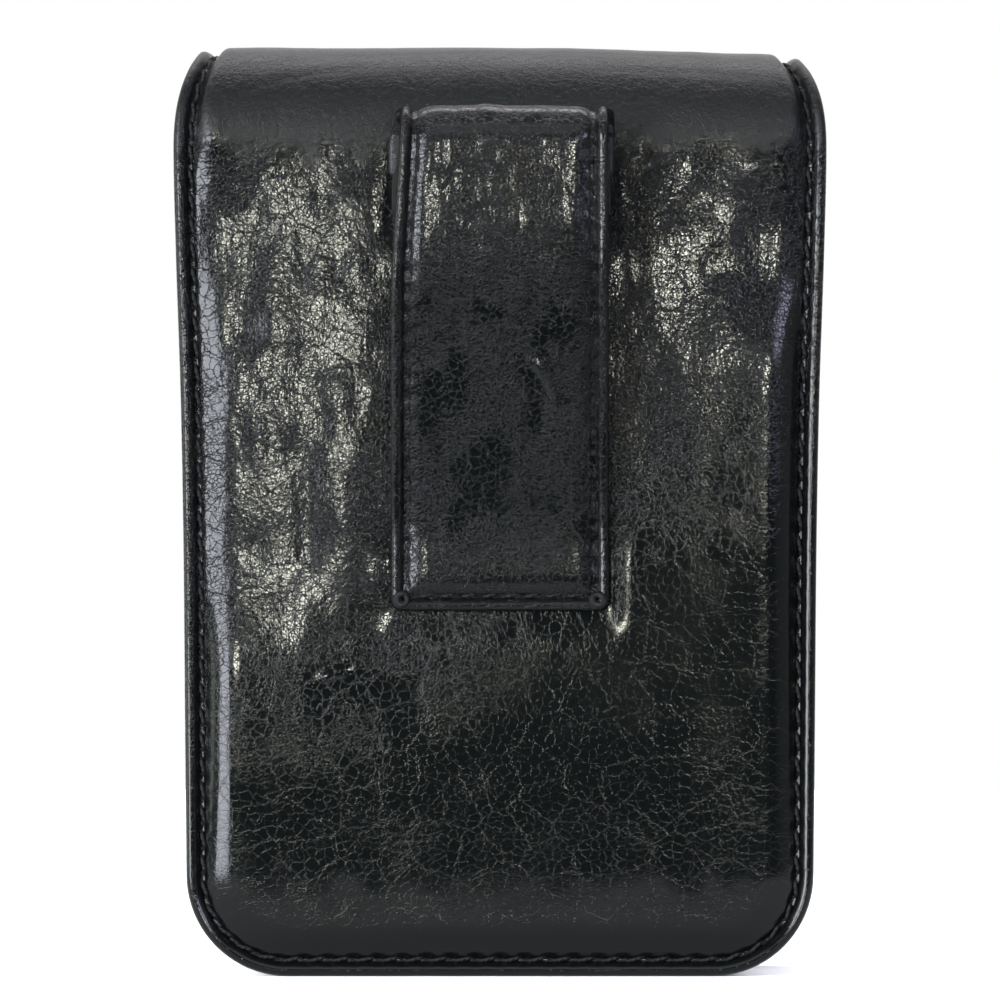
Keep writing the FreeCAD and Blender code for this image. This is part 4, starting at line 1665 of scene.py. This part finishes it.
@dataclass
class Studio:
    """Pale table top, soft lights and the camera."""

    distance: float = 1.5
    frame_width: float = 0.1425
    eye_height: float = 0.068

    def camera(self, back: float) -> None:
        """Stand the camera square to the back.

        Args:
            back: where the padded back lies, in metres.
        """
        bpy.ops.object.camera_add(
            location=(0.0, back - self.distance, self.eye_height), rotation=(math.pi / 2, 0, 0)
        )
        camera = bpy.context.object
        camera.data.sensor_width = 36.0
        camera.data.lens = 36.0 * self.distance / self.frame_width
        camera.data.clip_start = 0.01
        bpy.context.scene.camera = camera

    def light(self, box: SoftBox, back: float) -> None:
        """Hang a soft box.

        Args:
            box: the light.
            back: the place its distance is measured from, in metres.
        """
        across, away, up = box.at
        at = Vector((across, back + away, up))
        bpy.ops.object.light_add(type="AREA", location=at)
        lamp = bpy.context.object
        lamp.name = box.name
        lamp.data.shape = "RECTANGLE"
        lamp.data.size, lamp.data.size_y = box.size
        lamp.data.energy = box.power
        lamp.data.color = linear(box.colour)[:3]
        aim = Vector((0, 0, 0.07)) - at
        lamp.rotation_euler = aim.to_track_quat("-Z", "Y").to_euler()

    def floor(self) -> None:
        """A wide pale table top."""
        bpy.ops.object.select_all(action="DESELECT")
        bpy.ops.mesh.primitive_circle_add(vertices=96, radius=0.55, fill_type="NGON", location=(0, 0.41, 0))
        bpy.ops.object.transform_apply(location=True)
        floor = bpy.context.object
        floor.name = "table_top"
        with editing(floor):
            bpy.ops.mesh.select_all(action="SELECT")
            bpy.ops.mesh.extrude_region_move(TRANSFORM_OT_translate={"value": (0, 0, -0.03)})
            bpy.ops.mesh.select_all(action="SELECT")
            bpy.ops.mesh.normals_make_consistent(inside=False)
        material, tree, shader = blank("pale_laminate")
        place = add(tree, "ShaderNodeTexCoord").outputs["Object"]
        fibre = add(tree, "ShaderNodeTexNoise", {"Vector": place, "Scale": 900.0, "Detail": 2.0})
        tone = blend_of(tree, fibre.outputs["Fac"], linear("#f4f4f3"), linear("#fbfbfa"))
        finish(tree, shader, Base_Color=tone, Roughness=0.9)
        dress(floor, material)

    def surroundings(self) -> None:
        """White all round to the eye; the light itself comes mostly from overhead."""
        world = bpy.data.worlds.new("room")
        bpy.context.scene.world = world
        world.use_nodes = True
        tree = world.node_tree
        tree.nodes.clear()
        way = add(tree, "ShaderNodeTexCoord").outputs["Generated"]
        high = add(tree, "ShaderNodeVectorMath", {0: way, 1: (0.0, 0.6, 0.8)}, operation="DOT_PRODUCT")
        up = spread(tree, high.outputs["Value"], (0.15, 0.0), (0.9, 1.35))
        across = maths(tree, "ABSOLUTE", add(tree, "ShaderNodeSeparateXYZ", {0: way}).outputs["X"])
        up = maths(tree, "MAXIMUM", up, spread(tree, across, (0.6, 0.0), (0.97, 0.8)))
        seen = add(tree, "ShaderNodeLightPath").outputs["Is Camera Ray"]
        level = add(tree, "ShaderNodeMix", {"Factor": seen, "A": up, "B": 1.0}, data_type="FLOAT")
        shade = add(tree, "ShaderNodeBackground", {"Strength": level.outputs["Result"]})
        shade.inputs["Color"].default_value = linear("#ffffff")
        out = add(tree, "ShaderNodeOutputWorld")
        tree.links.new(shade.outputs[0], out.inputs["Surface"])

    def make(self, back: float) -> None:
        """Set the whole stage."""
        bpy.context.scene.view_settings.view_transform = "Standard"
        self.surroundings()
        self.floor()
        for box in LIGHTS:
            self.light(box, back)
        self.light(SoftBox("top_strip", (0.0, 0.5, 1.1), (1.2, 0.35), 11.5, "#fbf8ff"), 0.0)
        self.camera(back)


def main() -> None:
    """Build the pouch's looks around the frame, in order."""
    logging.basicConfig(level=logging.INFO, format="%(name)s %(message)s")
    body = Body()
    thread = Thread()
    hide = GlazedHide().make()
    strap_hide = GlazedHide("strap_hide", plate=1.1, relief=0.06, pull=0.022, bend=(781.0, 2000.0)).make()
    inner_hide = GlazedHide("inner_hide", gloss=0.5, relief=0.03, bend=(5000.0, 6000.0)).make()
    sewn = WaxedThread().make()
    cloth = NappedCloth("lining_cloth", "#26272b").make()
    foam = PlainStuff("open_foam", "#8a8b8f", 0.6).make()
    board = PlainStuff("fibreboard", "#8f7d66", 0.8, 4.0).make()
    metal = BlackNickel().make()
    Back(body, thread).make(hide, cloth, foam, sewn)
    FlapFront(body, thread).make(hide, cloth, foam, sewn)
    Front(body, thread).make(hide, cloth, foam, sewn)
    Gusset(body).make(hide, cloth)
    BeltLoop(thread).make(strap_hide, inner_hide, cloth, sewn)
    PressStud().make(metal)
    for node, kept in frame["nodes"].items():
        slot = next(p["material_slot"] for p in frame["record"]["subparts"] if p["node"] == node)
        finish = {"lining": cloth, "foam": foam, "board": board, "snap": metal, "thread": sewn,
                  "webbing": cloth, "hide": hide, "loop_inner": inner_hide}[slot]
        dress(kept, finish)
    Studio().make(body.back * MM)


if __name__ == "__main__":
    main()
